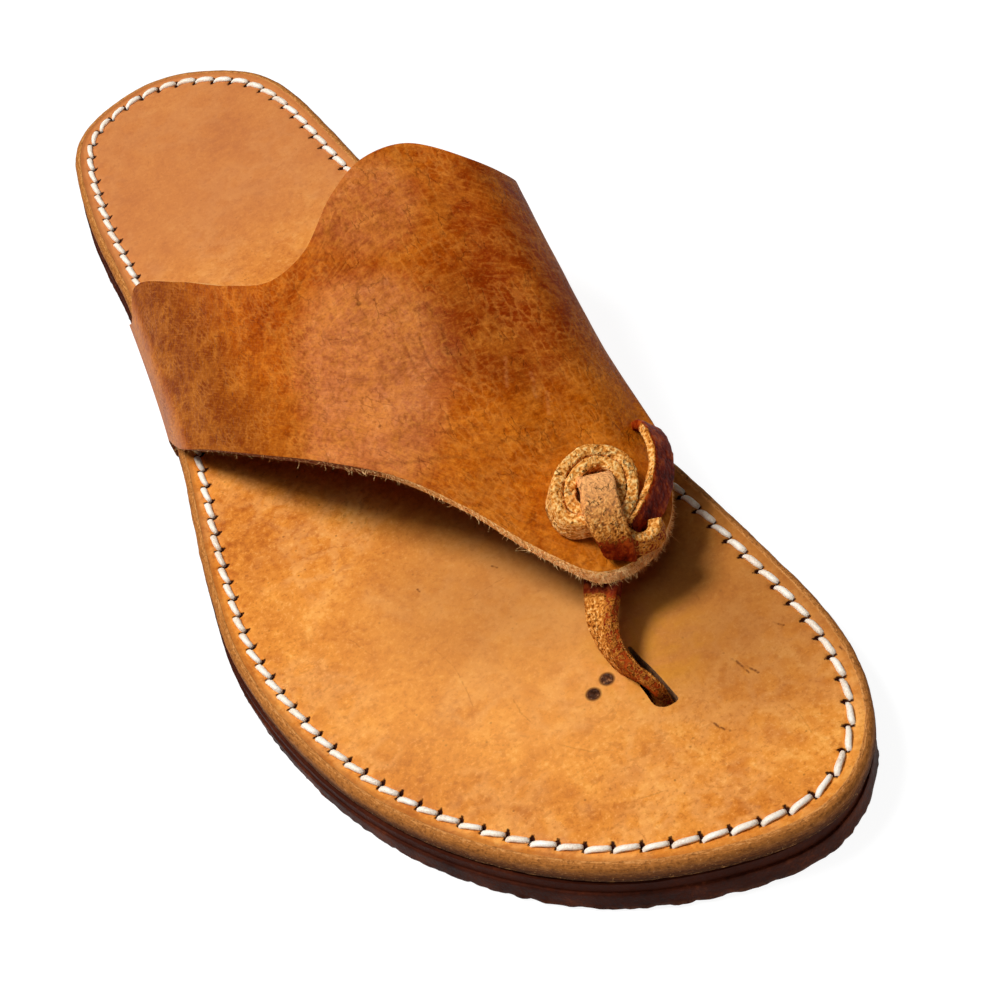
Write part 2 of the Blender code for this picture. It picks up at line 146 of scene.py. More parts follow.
def spline(points, steps, closed=False, tension=0.5):
    # Points of a Catmull-Rom curve: tension 0 spaces its knots evenly, 0.5 by the chords' roots
    if closed:
        held = [points[-1], *points, points[0], points[1]]
    else:
        held = [2 * points[0] - points[1], *points, 2 * points[-1] - points[-2]]
    curve = []
    for knots in zip(held, held[1:], held[2:], held[3:]):
        times = [0.0]
        for start, end in zip(knots, knots[1:]):
            times.append(times[-1] + max(1e-6, (end - start).length) ** tension)
        for step in range(steps):
            t = times[1] + (times[2] - times[1]) * step / steps
            line = knots
            for spans in (((0, 1), (1, 2), (2, 3)), ((0, 2), (1, 3)), ((1, 2),)):
                line = [start.lerp(end, (t - times[first]) / (times[second] - times[first]))
                        for start, end, (first, second) in zip(line, line[1:], spans)]
            curve += line
    return curve if closed else curve + [points[-1].copy()]


def runsAlong(points):
    # How far along a line each of its points lies
    runs = [0.0]
    for start, end in zip(points, points[1:]):
        runs.append(runs[-1] + (end - start).length)
    return runs


def slope(points, index):
    # From the point before one to the point after it
    return points[min(index + 1, len(points) - 1)] - points[max(index - 1, 0)]


def ring(count):
    # Unit vectors round a full turn
    turns = [2 * math.pi * turn / count for turn in range(count)]
    return [Vector((math.cos(angle), math.sin(angle), 0)) for angle in turns]


def standing(place, *axes):
    # The matrix that puts something at a place, along three axes of its own
    return Matrix.Translation(place) @ Matrix(axes).transposed().to_4x4()


def quarterTurn():
    # Shares of the radius back and down, from the start of a rounded corner to its end
    angles = [math.pi / 2 * step / 6 for step in range(7)]
    return [(1 - math.cos(angle), 1 - math.sin(angle)) for angle in angles]


def ease(value, low, high):
    share = min(1, max(0, (value - low) / (high - low)))
    return share * share * (3 - 2 * share)


def lumpy(point, size, seed=0.0):
    # Soft noise from -1 to 1, with lumps of about this size in metres
    return noise.noise(point / size + Vector((seed, seed * 2.3, seed * 0.7)))


# Materials


def paint(red, green, blue):
    # A colour from screen values to Blender's linear ones
    shares = [value / 255 for value in (red, green, blue)]
    return tuple(s / 12.92 if s <= 0.04045 else ((s + 0.055) / 1.055) ** 2.4 for s in shares) + (1,)


class Val:
    # A socket that takes part in sums
    def __init__(self, look, socket):
        self.look = look
        self.socket = socket

    def __add__(self, other):
        return self.look.maths("ADD", self, other)

    __radd__ = __add__

    def __mul__(self, other):
        return self.look.maths("MULTIPLY", self, other)

    __rmul__ = __mul__

    def __sub__(self, other):
        return self.look.maths("SUBTRACT", self, other)

    def __rsub__(self, other):
        return self.look.maths("SUBTRACT", other, self)

    def __truediv__(self, other):
        return self.look.maths("DIVIDE", self, other)

    def __pow__(self, other):
        return self.look.maths("POWER", self, other)

    def between(self, low, high, start=0.0, end=1.0):
        # Goes softly from start at low to end at high; low may be the greater
        made = self.look.node("ShaderNodeMapRange", {"interpolation_type": "SMOOTHSTEP"},
                              {0: self, 1: low, 2: high, 3: start, 4: end})
        return Val(self.look, made.outputs[0])

    def band(self, low, full, fading, high):
        # Rises from low to full and falls again from fading to high
        return self.between(low, full) * self.between(high, fading)


class Look:
    # One material: its shader and the nodes that feed it
    def __init__(self, name, **settings):
        self.material = bpy.data.materials.new(name)
        self.material.use_nodes = True
        self.tree = self.material.node_tree
        self.shader = self.tree.nodes["Principled BSDF"]
        for socket, value in settings.items():
            self.shader.inputs[socket.replace("_", " ")].default_value = value
        self.place = self.node("ShaderNodeTexCoord").outputs["Object"]

    def node(self, kind, settings=None, values=None):
        made = self.tree.nodes.new(kind)
        for name, value in (settings or {}).items():
            if name == "stops":
                ramp = made.color_ramp.elements
                while len(ramp) < len(value):
                    ramp.new(0.5)
                for stop, (at, colour) in zip(ramp, value):
                    stop.position = at
                    stop.color = colour
            else:
                setattr(made, name, value)
        for name, value in (values or {}).items():
            socket = made.inputs[name]
            if isinstance(value, Val):
                self.tree.links.new(value.socket, socket)
            elif isinstance(value, bpy.types.NodeSocket):
                self.tree.links.new(value, socket)
            else:
                socket.default_value = value
        return made

    def maths(self, operation, first, second=0.0):
        made = self.node("ShaderNodeMath", {"operation": operation}, {0: first, 1: second})
        return Val(self, made.outputs[0])

    def vectors(self, operation, first, second=None, output=0, **more):
        values = {0: first, **more}
        if second is not None:
            values[1] = second
        made = self.node("ShaderNodeVectorMath", {"operation": operation}, values)
        return Val(self, made.outputs[output]) if output else made.outputs[0]

    def noise(self, size, detail=4, rough=0.55, place=None, warp=0.0):
        # size is in metres where place is the object's own, in mm on a UV. Layers too fine to be seen are
        # left out, and the rest keep their contrast
        seen = math.log2(size / finest if place is None else size * mm / finest)
        held = min(detail, max(0, round(seen)))
        values = {"Vector": place or self.place, "Scale": 1 / size, "Detail": held, "Roughness": rough,
                  "Distortion": warp}
        kept = sum(rough ** layer for layer in range(held + 1))
        share = kept / sum(rough ** layer for layer in range(detail + 1))
        value = Val(self, self.node("ShaderNodeTexNoise", {}, values).outputs["Fac"])
        return value if share == 1 else value * share + (1 - share) / 2

    def cells(self, size, place=None, feature="F1"):
        values = {"Vector": place or self.place, "Scale": 1 / size}
        made = self.node("ShaderNodeTexVoronoi", {"feature": feature}, values)
        return Val(self, made.outputs["Distance"])

    def net(self, size, wide, place):
        # 1 on the borders between cells of this size, falling to 0 at this share of it
        return self.cells(size, place, "DISTANCE_TO_EDGE").between(wide, 0.0)

    def bent(self, size, far):
        # The object's own place, wandering by up to far in lumps of this size
        made = self.node("ShaderNodeTexNoise", {}, {"Vector": self.place, "Scale": 1 / size, "Detail": 3.0})
        level = self.vectors("SUBTRACT", made.outputs["Color"], (0.5,) * 3)
        return self.vectors("ADD", self.place, self.vectors("SCALE", level, Scale=far))

    def ramp(self, value, *stops):
        # Each stop is its place and its screen colour
        stops = [(at, paint(*tone)) for at, *tone in stops]
        return self.node("ShaderNodeValToRGB", {"stops": stops}, {0: value}).outputs[0]

    def mix(self, share, first, second):
        return self.node("ShaderNodeMix", {"data_type": "RGBA"}, {0: share, 6: first, 7: second}).outputs[2]

    def over(self, colour, *layers):
        # Lays screen colours over a colour, each given as its share and its three values
        for share, *tone in layers:
            colour = self.mix(share, colour, paint(*tone))
        return colour

    def axes(self, vector=None):
        # The object's own x, y and z, or another vector's
        made = self.node("ShaderNodeSeparateXYZ", {}, {0: vector or self.place})
        return [Val(self, output) for output in made.outputs]

    def uv(self):
        return self.axes(self.node("ShaderNodeUVMap").outputs[0])[:2]

    def onUv(self, u, v):
        return self.node("ShaderNodeCombineXYZ", {}, {0: u, 1: v}).outputs[0]

    def near(self, point, full, reach):
        # 1 within full of a point of the object, falling to 0 at reach, all in mm
        away = self.vectors("DISTANCE", self.place, Vector(point) * mm, "Value")
        return away.between(reach * mm, full * mm)

    def strokes(self, lines, wide):
        # 1 on thin given lines, each a list of plan points in mm; they wander a little
        flat = self.vectors("MULTIPLY", self.bent(1.6 * mm, 0.7 * mm), (1, 1, 0))
        total = None
        for line in lines:
            for start, end in zip(line, line[1:]):
                base = Vector((*start, 0)) * mm
                run = Vector((*end, 0)) * mm - base
                here = self.vectors("SUBTRACT", flat, base)
                along = self.vectors("DOT_PRODUCT", here, run, "Value")
                share = self.node("ShaderNodeMath", {"operation": "MULTIPLY", "use_clamp": True},
                                  {0: along, 1: 1 / run.length_squared})
                foot = self.vectors("SCALE", run, Scale=share.outputs[0])
                mark = self.vectors("DISTANCE", here, foot, "Value").between(wide, 0.0)
                total = mark if total is None else self.maths("MAXIMUM", total, mark)
        return total * self.noise(1.3 * mm, 3, 0.7).between(0.4, 0.56, 0.25, 1.0)

    def bump(self, height, distance, strength):
        values = {"Height": height, "Distance": distance, "Strength": strength}
        return self.node("ShaderNodeBump", {}, values).outputs[0]

    def wire(self, **sockets):
        for name, value in sockets.items():
            socket = self.shader.inputs[name.replace("_", " ")]
            self.tree.links.new(value.socket if isinstance(value, Val) else value, socket)
        return self.material


# Sizes of the sole, from the model's own last

last = {
    "length": 241 * mm,
    "ballWidth": 90.5 * mm,
    "instep": 43 * mm,
    "outsole": 6.4 * mm,
    "footbedBottom": 6.7 * mm,
    "footbedTop": 11.0 * mm,
    "springStart": 0.81,
    "toeSpring": 1.5 * mm,
    "toeCuts": 8,  # cuts across the flat faces where the toe bends
    "outsoleBulge": 1.0 * mm,
    "outerSeat": (0.282, 0.421),  # shares of the length where the strap goes in
    "innerSeat": (0.317, 0.492),
}
heelY = last["length"] / 2

# The sole's rim, from the heel round the outer side to the toe and back: shares of length and ball width
soleRim = [
    (0.001, -0.084), (0.033, -0.265), (0.129, -0.332), (0.259, -0.350), (0.418, -0.398), (0.562, -0.475),
    (0.666, -0.501), (0.789, -0.435), (0.890, -0.283), (0.966, -0.055), (1.001, 0.244), (0.966, 0.427),
    (0.881, 0.504), (0.748, 0.470), (0.563, 0.388), (0.376, 0.319), (0.226, 0.275), (0.081, 0.219),
    (0.019, 0.081),
]


def onSole(along, across, height=0.0):
    return Vector((across * last["ballWidth"], heelY - along * last["length"], height))


def inwardNormals(line):
    found = []
    for before, after in zip(line[-1:] + line[:-1], line[1:] + line[:1]):
        run = (after - before).normalized()
        found.append(Vector((-run.y, run.x, 0)))
    return found


def spring(y):
    start = heelY - last["springStart"] * last["length"]
    reach = (1 - last["springStart"]) * last["length"]
    return last["toeSpring"] * max(0, (start - y) / reach) ** 2


stitching = {
    "pitch": 4.25 * mm,
    "toePitch": 0.12,  # share by which the stitches lengthen round the toe
    "sidePitch": 1.2,  # and from the outer to the inner side, per metre across
    "inset": 3.6 * mm,
    "slant": 0.5 * mm,  # how far a stitch drifts inwards from its start to its end
    "thick": 1.24 * mm,
    "columns": 7,  # of the footbed's mesh, for each stitch
    "mesh": (9, 10),  # steps along one stitch and round it
    "uneven": (0.93, 1.05),  # least and most of a stitch's thickness
    "lengths": (0.88, 0.95),  # and of its share of the way between two holes
    "seed": 5,
}

rimDense = spline([onSole(*held) for held in soleRim], 48, closed=True, tension=0)
rimNormals = inwardNormals(rimDense)


def evenColumns():
    # Rim points and normals, the same number for every stitch
    line = [point + normal * stitching["inset"] for point, normal in zip(rimDense, rimNormals)]
    runs = [0.0]
    for start, end in zip(line, line[1:] + line[:1]):
        longer = stitching["toePitch"] * ease(-start.y, 80 * mm, 112 * mm) + stitching["sidePitch"] * start.x
        runs.append(runs[-1] + (end - start).length / (1 + longer))
    stitches = round(runs[-1] / stitching["pitch"])
    count = stitches * stitching["columns"]
    columns = []
    held = 0
    for column in range(count):
        run = runs[-1] * column / count
        while runs[held + 1] < run:
            held += 1
        share = (run - runs[held]) / (runs[held + 1] - runs[held])
        after = (held + 1) % len(rimDense)
        point = rimDense[held].lerp(rimDense[after], share)
        normal = rimNormals[held].lerp(rimNormals[after], share).normalized()
        columns.append((point, normal))
    return columns, stitches


rimColumns, stitchCount = evenColumns()
print("rim laid out for", stitchCount, "stitches")


def soleShell(name, profile, move):
    # A shell round the whole rim from pairs of inset and height; move() finishes each of its points
    rows = [[move(point + normal * inset + upward * height, column, inset, height, normal)
             for column, (point, normal) in enumerate(rimColumns)] for inset, height in profile]
    uvRows = [[(column / stitching["columns"], inset / mm) for column in range(len(rimColumns) + 1)]
              for inset, height in profile]
    return closedShell(name, rows, uvRows)


def bendToe(obj):
    # Bends the forefoot up, after cutting the flat faces across where it bends
    start = heelY - last["springStart"] * last["length"]
    edit(obj, True)
    for step in range(last["toeCuts"]):
        bpy.ops.mesh.select_all(action="SELECT")
        cut = (0, start - (start + last["length"] / 2) * step / last["toeCuts"], 0)
        bpy.ops.mesh.bisect(plane_co=cut, plane_no=(0, 1, 0), threshold=1e-6)
    pick(obj)
    for vert in obj.data.vertices:
        vert.co.z += spring(vert.co.y)


# Footbed: vegetable-tanned leather with a rounded rim, a raw edge and a sewn channel

footbed = {
    "rimRound": 1.3 * mm,
    "seatRoom": 0.65 * mm,  # how far the edge steps back behind the strap's ends
    "channel": 0.22 * mm,  # depth of the sewn channel, and its half width
    "channelWide": 0.9 * mm,
    "holeDeep": 0.75 * mm,
    "holeInset": 4.25 * mm,
    "holeSize": (0.5 * mm, 0.55 * mm),  # along the seam and across it
    "edgeRough": 0.1 * mm,  # depth and sizes of the raw edge's lumps
    "edgeLumps": (0.9 * mm, 3.5 * mm),
    "slotHeelEnd": Vector((14.3 * mm, -73.9 * mm, 0)),
    "slotToeEnd": Vector((16.1 * mm, -87.9 * mm, 0)),
    "slotEdges": [(0.0, 0.2, 0.2), (0.2, 0.8, 0.3), (0.42, 2.7, 0.5), (0.7, 3.3, 0.5), (0.9, 3.4, 0.4),
                  (1.0, 2.0, 0.2)],  # share of its run, then mm to the outer and to the inner side
    "slotCut": (5 * mm, 13 * mm),  # heights of the tool that cuts it
    "nails": [Vector((4.9 * mm, -78.9 * mm, 0)), Vector((8.2 * mm, -77.5 * mm, 0))],
    # Scuffs and hairlines on its top, as plan points in mm
    "marks": [[(27.5, -86.1), (28.5, -88.7)], [(28.0, -86.8), (28.5, -90.0)], [(28.8, -88.5), (29.9, -90.9)],
              [(37.0, -83.5), (38.0, -84.9)], [(18.9, -95.4), (19.6, -97.5)], [(43.4, -94.2), (44.0, -96.1)],
              [(44.2, -97.2), (44.3, -98.7)], [(-11.1, -41.6), (-11.0, -42.2)], [(2.2, -44.7), (2.8, -45.4)],
              [(28.9, -71.3), (28.9, -72.1)]],
    "hairlines": [
        [(-13.8, -55.2), (-12.6, -60.5), (-12.9, -65.7), (-13.4, -69.8)], [(-4.6, -48.9), (2.7, -48.2)],
        [(-7.0, -72.2), (-7.1, -75.0), (-6.4, -77.8)], [(-26.5, -22.7), (-20.8, -23.5), (-17.2, -25.5)],
        [(-4.3, -84.6), (-0.8, -88.6), (2.5, -90.4)], [(30.1, -97.4), (31.3, -101.9), (31.0, -106.1)],
        [(-25.8, -44.4), (-23.8, -49.6)], [(1.9, -101.3), (6.4, -102.5)]],
}


def seatShare(point):
    # 1 where the strap's end goes into the sole beside this rim point
    back, front = last["outerSeat"] if point.x < 0 else last["innerSeat"]
    along = (heelY - point.y) / last["length"]
    soft = 0.002
    return ease(along, back - soft, back) * (1 - ease(along, front, front + soft))


def footbedPoint(point, column, inset, height, normal):
    if inset < 2 * mm:
        point = point + normal * footbed["seatRoom"] * seatShare(point) * (1 - inset / (2 * mm))
    if inset < footbed["rimRound"] and height > last["footbedBottom"]:
        small, large = footbed["edgeLumps"]
        rough = lumpy(point, small) * 0.6 + lumpy(point, large, 4) * 1.1
        point = point + normal * footbed["edgeRough"] * rough
    if inset > footbed["rimRound"] and height > last["footbedBottom"]:
        away = (inset - stitching["inset"]) / footbed["channelWide"]
        point.z -= footbed["channel"] * math.exp(-away * away)
        step = column % stitching["columns"]
        run = min(step, stitching["columns"] - step) / stitching["columns"] * stitching["pitch"]
        long, wide = footbed["holeSize"]
        deep = (run / long) ** 2 + ((inset - footbed["holeInset"]) / wide) ** 2
        point.z -= footbed["holeDeep"] * math.exp(-deep)
        point.z += 0.05 * mm * lumpy(point, 7 * mm, 2)
    return point


def footbedProfile():
    # Pairs of inset and height, from under the rim up the edge, round it and inwards over the top
    top = last["footbedTop"]
    turn = footbed["rimRound"]
    low = last["footbedBottom"]
    profile = [(3.0 * mm, low), (0.5 * mm, low), (0.1 * mm, low + 0.15 * mm)]
    low += 0.35 * mm
    profile += [(0.0, low + (top - turn - low) * step / 6) for step in range(7)]
    profile += [(turn * back, top - turn * down) for back, down in quarterTurn()[1:]]
    insets = (1.6, 2.0, 2.4, 2.7, 3.0, 3.3, 3.6, 3.9, 4.2, 4.5, 4.8, 5.1, 5.6, 6.4, 8.0, 11.0)
    return profile + [(inset * mm, top) for inset in insets]


def slotOutline():
    start = footbed["slotHeelEnd"]
    run = footbed["slotToeEnd"] - start
    outwards = Vector((run.y, -run.x, 0)).normalized()
    outer = [start + run * share + outwards * far * mm for share, far, near in footbed["slotEdges"]]
    inner = [start + run * share - outwards * near * mm for share, far, near in footbed["slotEdges"]]
    return spline(outer + inner[::-1], 6, closed=True)


def cutAway(obj, tool):
    pick(obj)
    cut = obj.modifiers.new("cut", "BOOLEAN")
    cut.operation = "DIFFERENCE"
    cut.solver = "EXACT"
    cut.object = tool
    applyModifiers(obj)
    bpy.data.objects.remove(tool)


def makeFootbed():
    shell = soleShell("footbedLeather", footbedProfile(), footbedPoint)
    # Its second UV value runs down the edge: below 0 on the upright edge, and the inset above it
    layer = shell.data.uv_layers.active.data
    rimUp = last["footbedTop"] - footbed["rimRound"]
    for loop in shell.data.loops:
        height = shell.data.vertices[loop.vertex_index].co.z
        if height < rimUp:
            layer[loop.index].uv.y = (height - rimUp) / mm
    # The slot's own walls keep the second finish
    outline = slotOutline()
    rows = [[point + upward * height for point in outline] for height in footbed["slotCut"]]
    tool = closedShell("slotTool", rows)
    holdPlaces(shell, 2)
    holdPlaces(tool, 2)
    for face in tool.data.polygons:
        face.material_index = 1
    cutAway(shell, tool)
    bendToe(shell)
    return smoothed(shell, 35)


def footbedLook():
    look = Look("footbedLeather", Roughness=0.5, Specular_IOR_Level=0.12, Specular_Tint=(1, 0.8, 0.6, 1))
    u, v = look.uv()
    x, y = look.axes()[:2]
    # Mottled grain: broad clouds, blotches of 3 to 8 mm and thin pale veins between them
    broad = look.noise(45 * mm, 3)
    cloud = look.noise(9 * mm, 5, 0.62, warp=0.6)
    fine = look.noise(1.5 * mm, 4, 0.68)
    grit = look.noise(0.75 * mm, 4, 0.72)
    top = look.ramp(broad * 0.3 + cloud * 0.36 + fine * 0.34, (0.36, 174, 88, 24), (0.45, 210, 124, 42),
                    (0.54, 228, 144, 56), (0.64, 244, 172, 84))
    blotch = look.cells(6.5 * mm, look.bent(9 * mm, 7 * mm)).between(0.34, 0.1)
    blotch = blotch * broad.between(0.4, 0.58)
    vein = look.net(5.5 * mm, 0.28, look.bent(3 * mm, 5 * mm))
    vein = vein * look.noise(16 * mm, 2).between(0.42, 0.58)
    freckle = look.noise(2.6 * mm, 4, 0.66, warp=0.3).between(0.55, 0.63)
    freckle = freckle * look.noise(14 * mm, 3).between(0.42, 0.56)
    patch = look.noise(7 * mm, 7, 0.66, warp=0.3).between(0.53, 0.56)
    pores = look.cells(2.1 * mm).between(0.15, 0.05) * look.noise(6 * mm, 2).between(0.5, 0.6)
    top = look.over(
        top, (blotch * 0.5, 186, 96, 30), (vein * 0.27, 244, 182, 112), (freckle * 0.42, 176, 92, 28),
        (patch * 0.2, 190, 104, 36), (grit.between(0.55, 0.66) * 0.2, 250, 190, 116),
        (grit.between(0.45, 0.35) * 0.3, 168, 88, 30), (pores * 0.55, 112, 54, 20))
    # The heel is pinker and the forefoot paler; olive painted shade lies right of the post, and painted shade
    # under the strap's front edge and right of the slot
    heel = y.between(30 * mm, 75 * mm)
    shade = look.maths("MAXIMUM", look.near((-0.5, -45.2, 11), 8, 30), look.near((36, -84, 11), 7, 28))
    marks = look.strokes(footbed["marks"], 0.34 * mm)
    stain = look.near((17, -76, 11), 4, 15) * cloud.between(0.38, 0.6)
    top = look.over(
        top, (heel * 0.72, 192, 120, 72), (look.near((30, -60, 11), 8, 48) * 0.55, 150, 98, 46),
        (look.near((-6, -62, 11), 12, 46) * 0.34, 246, 172, 92), (shade * 0.42, 164, 100, 46),
        (marks * 0.8, 100, 46, 14), (look.strokes(footbed["hairlines"], 0.22 * mm) * 0.3, 140, 74, 26),
        (stain * 0.55, 196, 128, 24))
    # Burnished line inside the rim, and torn stitch holes and slits with painted shade in their depth
    line = (v + (look.noise(5 * mm, 2) - 0.5) * 0.8).band(1.1, 1.6, 1.8, 2.5)
    line = line * x.between(-20 * mm, 25 * mm, 0.45, 0.12)
    run = look.maths("ABSOLUTE", look.maths("FRACT", u + 0.5) - 0.5) * (stitching["pitch"] / mm)
    torn = (look.noise(0.8 * mm, 3) - 0.5) * 0.9
    inwards = look.maths("ABSOLUTE", (v - footbed["holeInset"] / mm) / 0.62)
    hole = ((run / 0.5) ** 2 + inwards ** 2 + torn).between(1.25, 0.55)
    slit = (run + torn * 0.3).between(0.34, 0.1) * (v + torn * 0.8).between(2.8, 3.1)
    pierced = look.maths("MAXIMUM", hole, slit * (v + torn * 1.2).between(5.2, 4.9))
    top = look.over(top, (line, 142, 70, 26), (pierced, 46, 12, 6))
    # Raw edge: short fibres along it, darker towards the outsole
    fibre = look.noise(1.4, 5, 0.7, place=look.onUv(u * 4.4, v * 5.0))
    speck = look.noise(0.5 * mm, 4, 0.7)
    edge = look.ramp(v * 0.2 + 0.6 + (fibre - 0.5) * 1.1, (0.0, 150, 100, 50), (0.05, 56, 26, 8),
                     (0.34, 104, 56, 22), (0.58, 152, 92, 40), (0.8, 182, 114, 52), (0.94, 218, 150, 84))
    edge = look.over(edge, (speck.between(0.5, 0.66) * 0.45, 64, 28, 12),
                     (speck.between(0.42, 0.34) * 0.4, 212, 154, 96))
    raw = (v + (fibre - 0.5) * 0.5).between(1.6, 1.3)
    # The nails' stained rims
    rims = [look.near((nail + upward * last["footbedTop"]) / mm, 1.12, 1.6) for nail in footbed["nails"]]
    colour = look.over(look.mix(raw, top, edge), *((rim * 0.85, 70, 34, 18) for rim in rims))
    grain = look.cells(0.55 * mm) * 0.35 + look.noise(0.35 * mm, 3) * 0.5
    relief = grain * 0.16 + grit * 0.1 + cloud * 0.4
    relief = relief * (1 - raw) + (fibre * 1.3 + speck * 1.0) * raw - pierced * 1.2 - marks * 0.2
    gloss = cloud.between(0.3, 0.7, 0.46, 0.6) + raw * 0.3
    return look.wire(Base_Color=colour, Roughness=gloss, Normal=look.bump(relief, 0.35 * mm, 0.7))


def cutWallLook():
    look = Look("cutLeather", Roughness=0.8)
    fibre = look.noise(0.6 * mm, 4, 0.7)
    colour = look.ramp(fibre, (0.3, 70, 36, 20), (0.6, 190, 140, 92))
    return look.wire(Base_Color=colour, Normal=look.bump(fibre, 0.2 * mm, 0.6))


finished(makeFootbed(), [footbedLook(), cutWallLook()], "tan_leather", "footbed")
print("footbed done")


# Outsole: brown rubber with a step round its side and a ragged lower edge

outsole = {
    "stepUp": 4.1 * mm,
    "stepIn": 0.45 * mm,
    "ragged": 0.62 * mm,
    "nick": 2.0 * mm,  # size of the little nicks along the lower edge
    "raggedTall": 0.9 * mm,  # how far up they reach
    "toe": (60 * mm, 110 * mm),  # forward of the middle, where the toe's own form starts and is full
    "flare": 0.5 * mm,  # how far the lower edge stands out at the toe
    "flatter": 0.6,  # share of the toe's spring that the lower face lacks
}


def outsolePoint(point, column, inset, height, normal):
    point = point - Vector((last["outsoleBulge"], 0, 0))
    toe = ease(-point.y, *outsole["toe"])
    low = 1 - height / last["outsole"]
    point = point - normal * outsole["flare"] * toe * low
    point.z -= spring(point.y) * outsole["flatter"] * low * toe
    if inset < 1.5 * mm and height < outsole["raggedTall"]:
        low = 1 - height / outsole["raggedTall"]
        nick = lumpy(point, 0.7 * outsole["nick"], 7) + 0.5 * lumpy(point, 2 * outsole["nick"], 3)
        point = point - normal * outsole["ragged"] * nick * low
        point.z += max(0, nick) * 0.55 * mm * low * (1 if height > 0 else 0.35)
    elif inset < 1.0 * mm:
        point = point + normal * 0.05 * mm * (lumpy(point, 4 * mm, 1) + lumpy(point, 1.1 * mm, 6))
    return point


def makeOutsole():
    # Pairs of inset and height in mm, from under the sole up its side, over the step and inwards
    step = outsole["stepUp"] / mm
    back = outsole["stepIn"] / mm
    top = last["outsole"] / mm
    profile = [(3, 0), (1.4, 0), (0.5, 0), (0.12, 0.2), (0, 0.5), (0, 1), (0, 1.8), (0, 2.6), (0, 3.4),
               (0, step - 0.12), (0.06, step), (back - 0.08, step + 0.05), (back, step + 0.15), (back, 4.9),
               (back, 5.6), (back + 0.03, top - 0.25), (back + 0.3, top), (3, top)]
    shell = soleShell("outsoleRubber", [(inset * mm, height * mm) for inset, height in profile], outsolePoint)
    layer = shell.data.uv_layers.active.data
    for loop in shell.data.loops:
        layer[loop.index].uv.y = shell.data.vertices[loop.vertex_index].co.z / mm
    bendToe(shell)
    return smoothed(shell, 32)


def outsoleLook():
    look = Look("outsoleRubber", Roughness=0.62, Specular_IOR_Level=0.05, Specular_Tint=(1, 0.7, 0.6, 1))
    u, v = look.uv()
    fine = look.noise(0.7 * mm, 4, 0.7)
    tone = look.noise(9 * mm, 4) * 0.6 + fine * 0.4
    # Darker above its step, dusty low down
    step = outsole["stepUp"] / mm
    upper = v.between(step - 0.05, step + 0.12)
    dusty = (v + (fine - 0.5) * 1.2).between(1.0, 0.0) * fine.between(0.4, 0.6)
    colour = look.over(look.ramp(tone, (0.36, 40, 12, 5), (0.52, 66, 26, 12), (0.66, 104, 50, 28)),
                       (upper * 0.5, 60, 22, 10), (dusty * 0.5, 104, 66, 46))
    relief = look.noise(1.0, 3, 0.6, place=look.onUv(u * 9.0, v * 0.6)) * 0.5 + fine * 0.6
    return look.wire(Base_Color=colour, Roughness=fine.between(0.3, 0.7, 0.5, 0.72),
                     Normal=look.bump(relief, 0.22 * mm, 0.7))


finished(makeOutsole(), outsoleLook(), "dark_brown_rubber", "outsole")
print("outsole done")


# Stitches: waxed cream thread, each drifting inwards to its next hole


def stitchTemplate():
    # One stitch of unit length along X, its ends sunk, with the two plies' soft twist
    # It rises out of its hole, runs level and sinks again
    rows = []
    half = stitching["thick"] / 2
    steps, around = stitching["mesh"]
    for step in range(steps + 1):
        share = step / steps
        rise = math.sin(math.pi * share) ** 0.55
        width = half * (0.62 + 0.38 * rise)
        row = []
        for turn in range(around):
            angle = 2 * math.pi * turn / around
            ply = 1 + 0.09 * math.cos(2 * angle + 4.2 * share)
            side = math.cos(angle) * width * ply + 0.16 * half * math.sin(2 * math.pi * share)
            up = math.sin(angle) * width * 0.82 * ply + (0.75 * rise - 0.62) * half
            row.append(Vector((share - 0.5, side, up)))
        rows.append(row)
    return closedShell("stitchTemplate", rows)


def makeStitches():
    template = stitchTemplate()
    chance = random.Random(stitching["seed"])
    columns = stitching["columns"]
    places = []
    for stitch in range(stitchCount):
        ends = []
        for hole, drift in ((stitch, -0.5), (stitch + 1, 0.5)):
            point, normal = rimColumns[hole * columns % len(rimColumns)]
            inset = stitching["inset"] + stitching["slant"] * (drift * 2 + chance.uniform(-0.2, 0.2))
            height = last["footbedTop"] + spring(point.y)
            ends.append(point + normal * inset + upward * height)
        run = ends[1] - ends[0]
        along = run.normalized()
        side = upward.cross(along).normalized()
        over = along.cross(side)
        size = chance.uniform(*stitching["uneven"])
        length = run.length * chance.uniform(*stitching["lengths"])
        places.append(standing((ends[0] + ends[1]) / 2, along * length, side * size, over * size))
    return joinedCopies("stitches", template, places)


def threadLook():
    look = Look("waxedThread", Roughness=0.42)
    strand = look.noise(0.3 * mm, 3, 0.6)
    grime = look.noise(7 * mm, 3)
    tone = strand * 0.5 + grime * 0.5
    colour = look.ramp(tone, (0.32, 206, 176, 148), (0.48, 246, 232, 212), (0.62, 255, 248, 236))
    return look.wire(Base_Color=colour, Normal=look.bump(strand, 0.12 * mm, 0.6))


finished(makeStitches(), threadLook(), "tan_leather")
print("stitches done")


# Strap: one sheet of saddle leather, bent over the instep and tucked into the sole at both sides

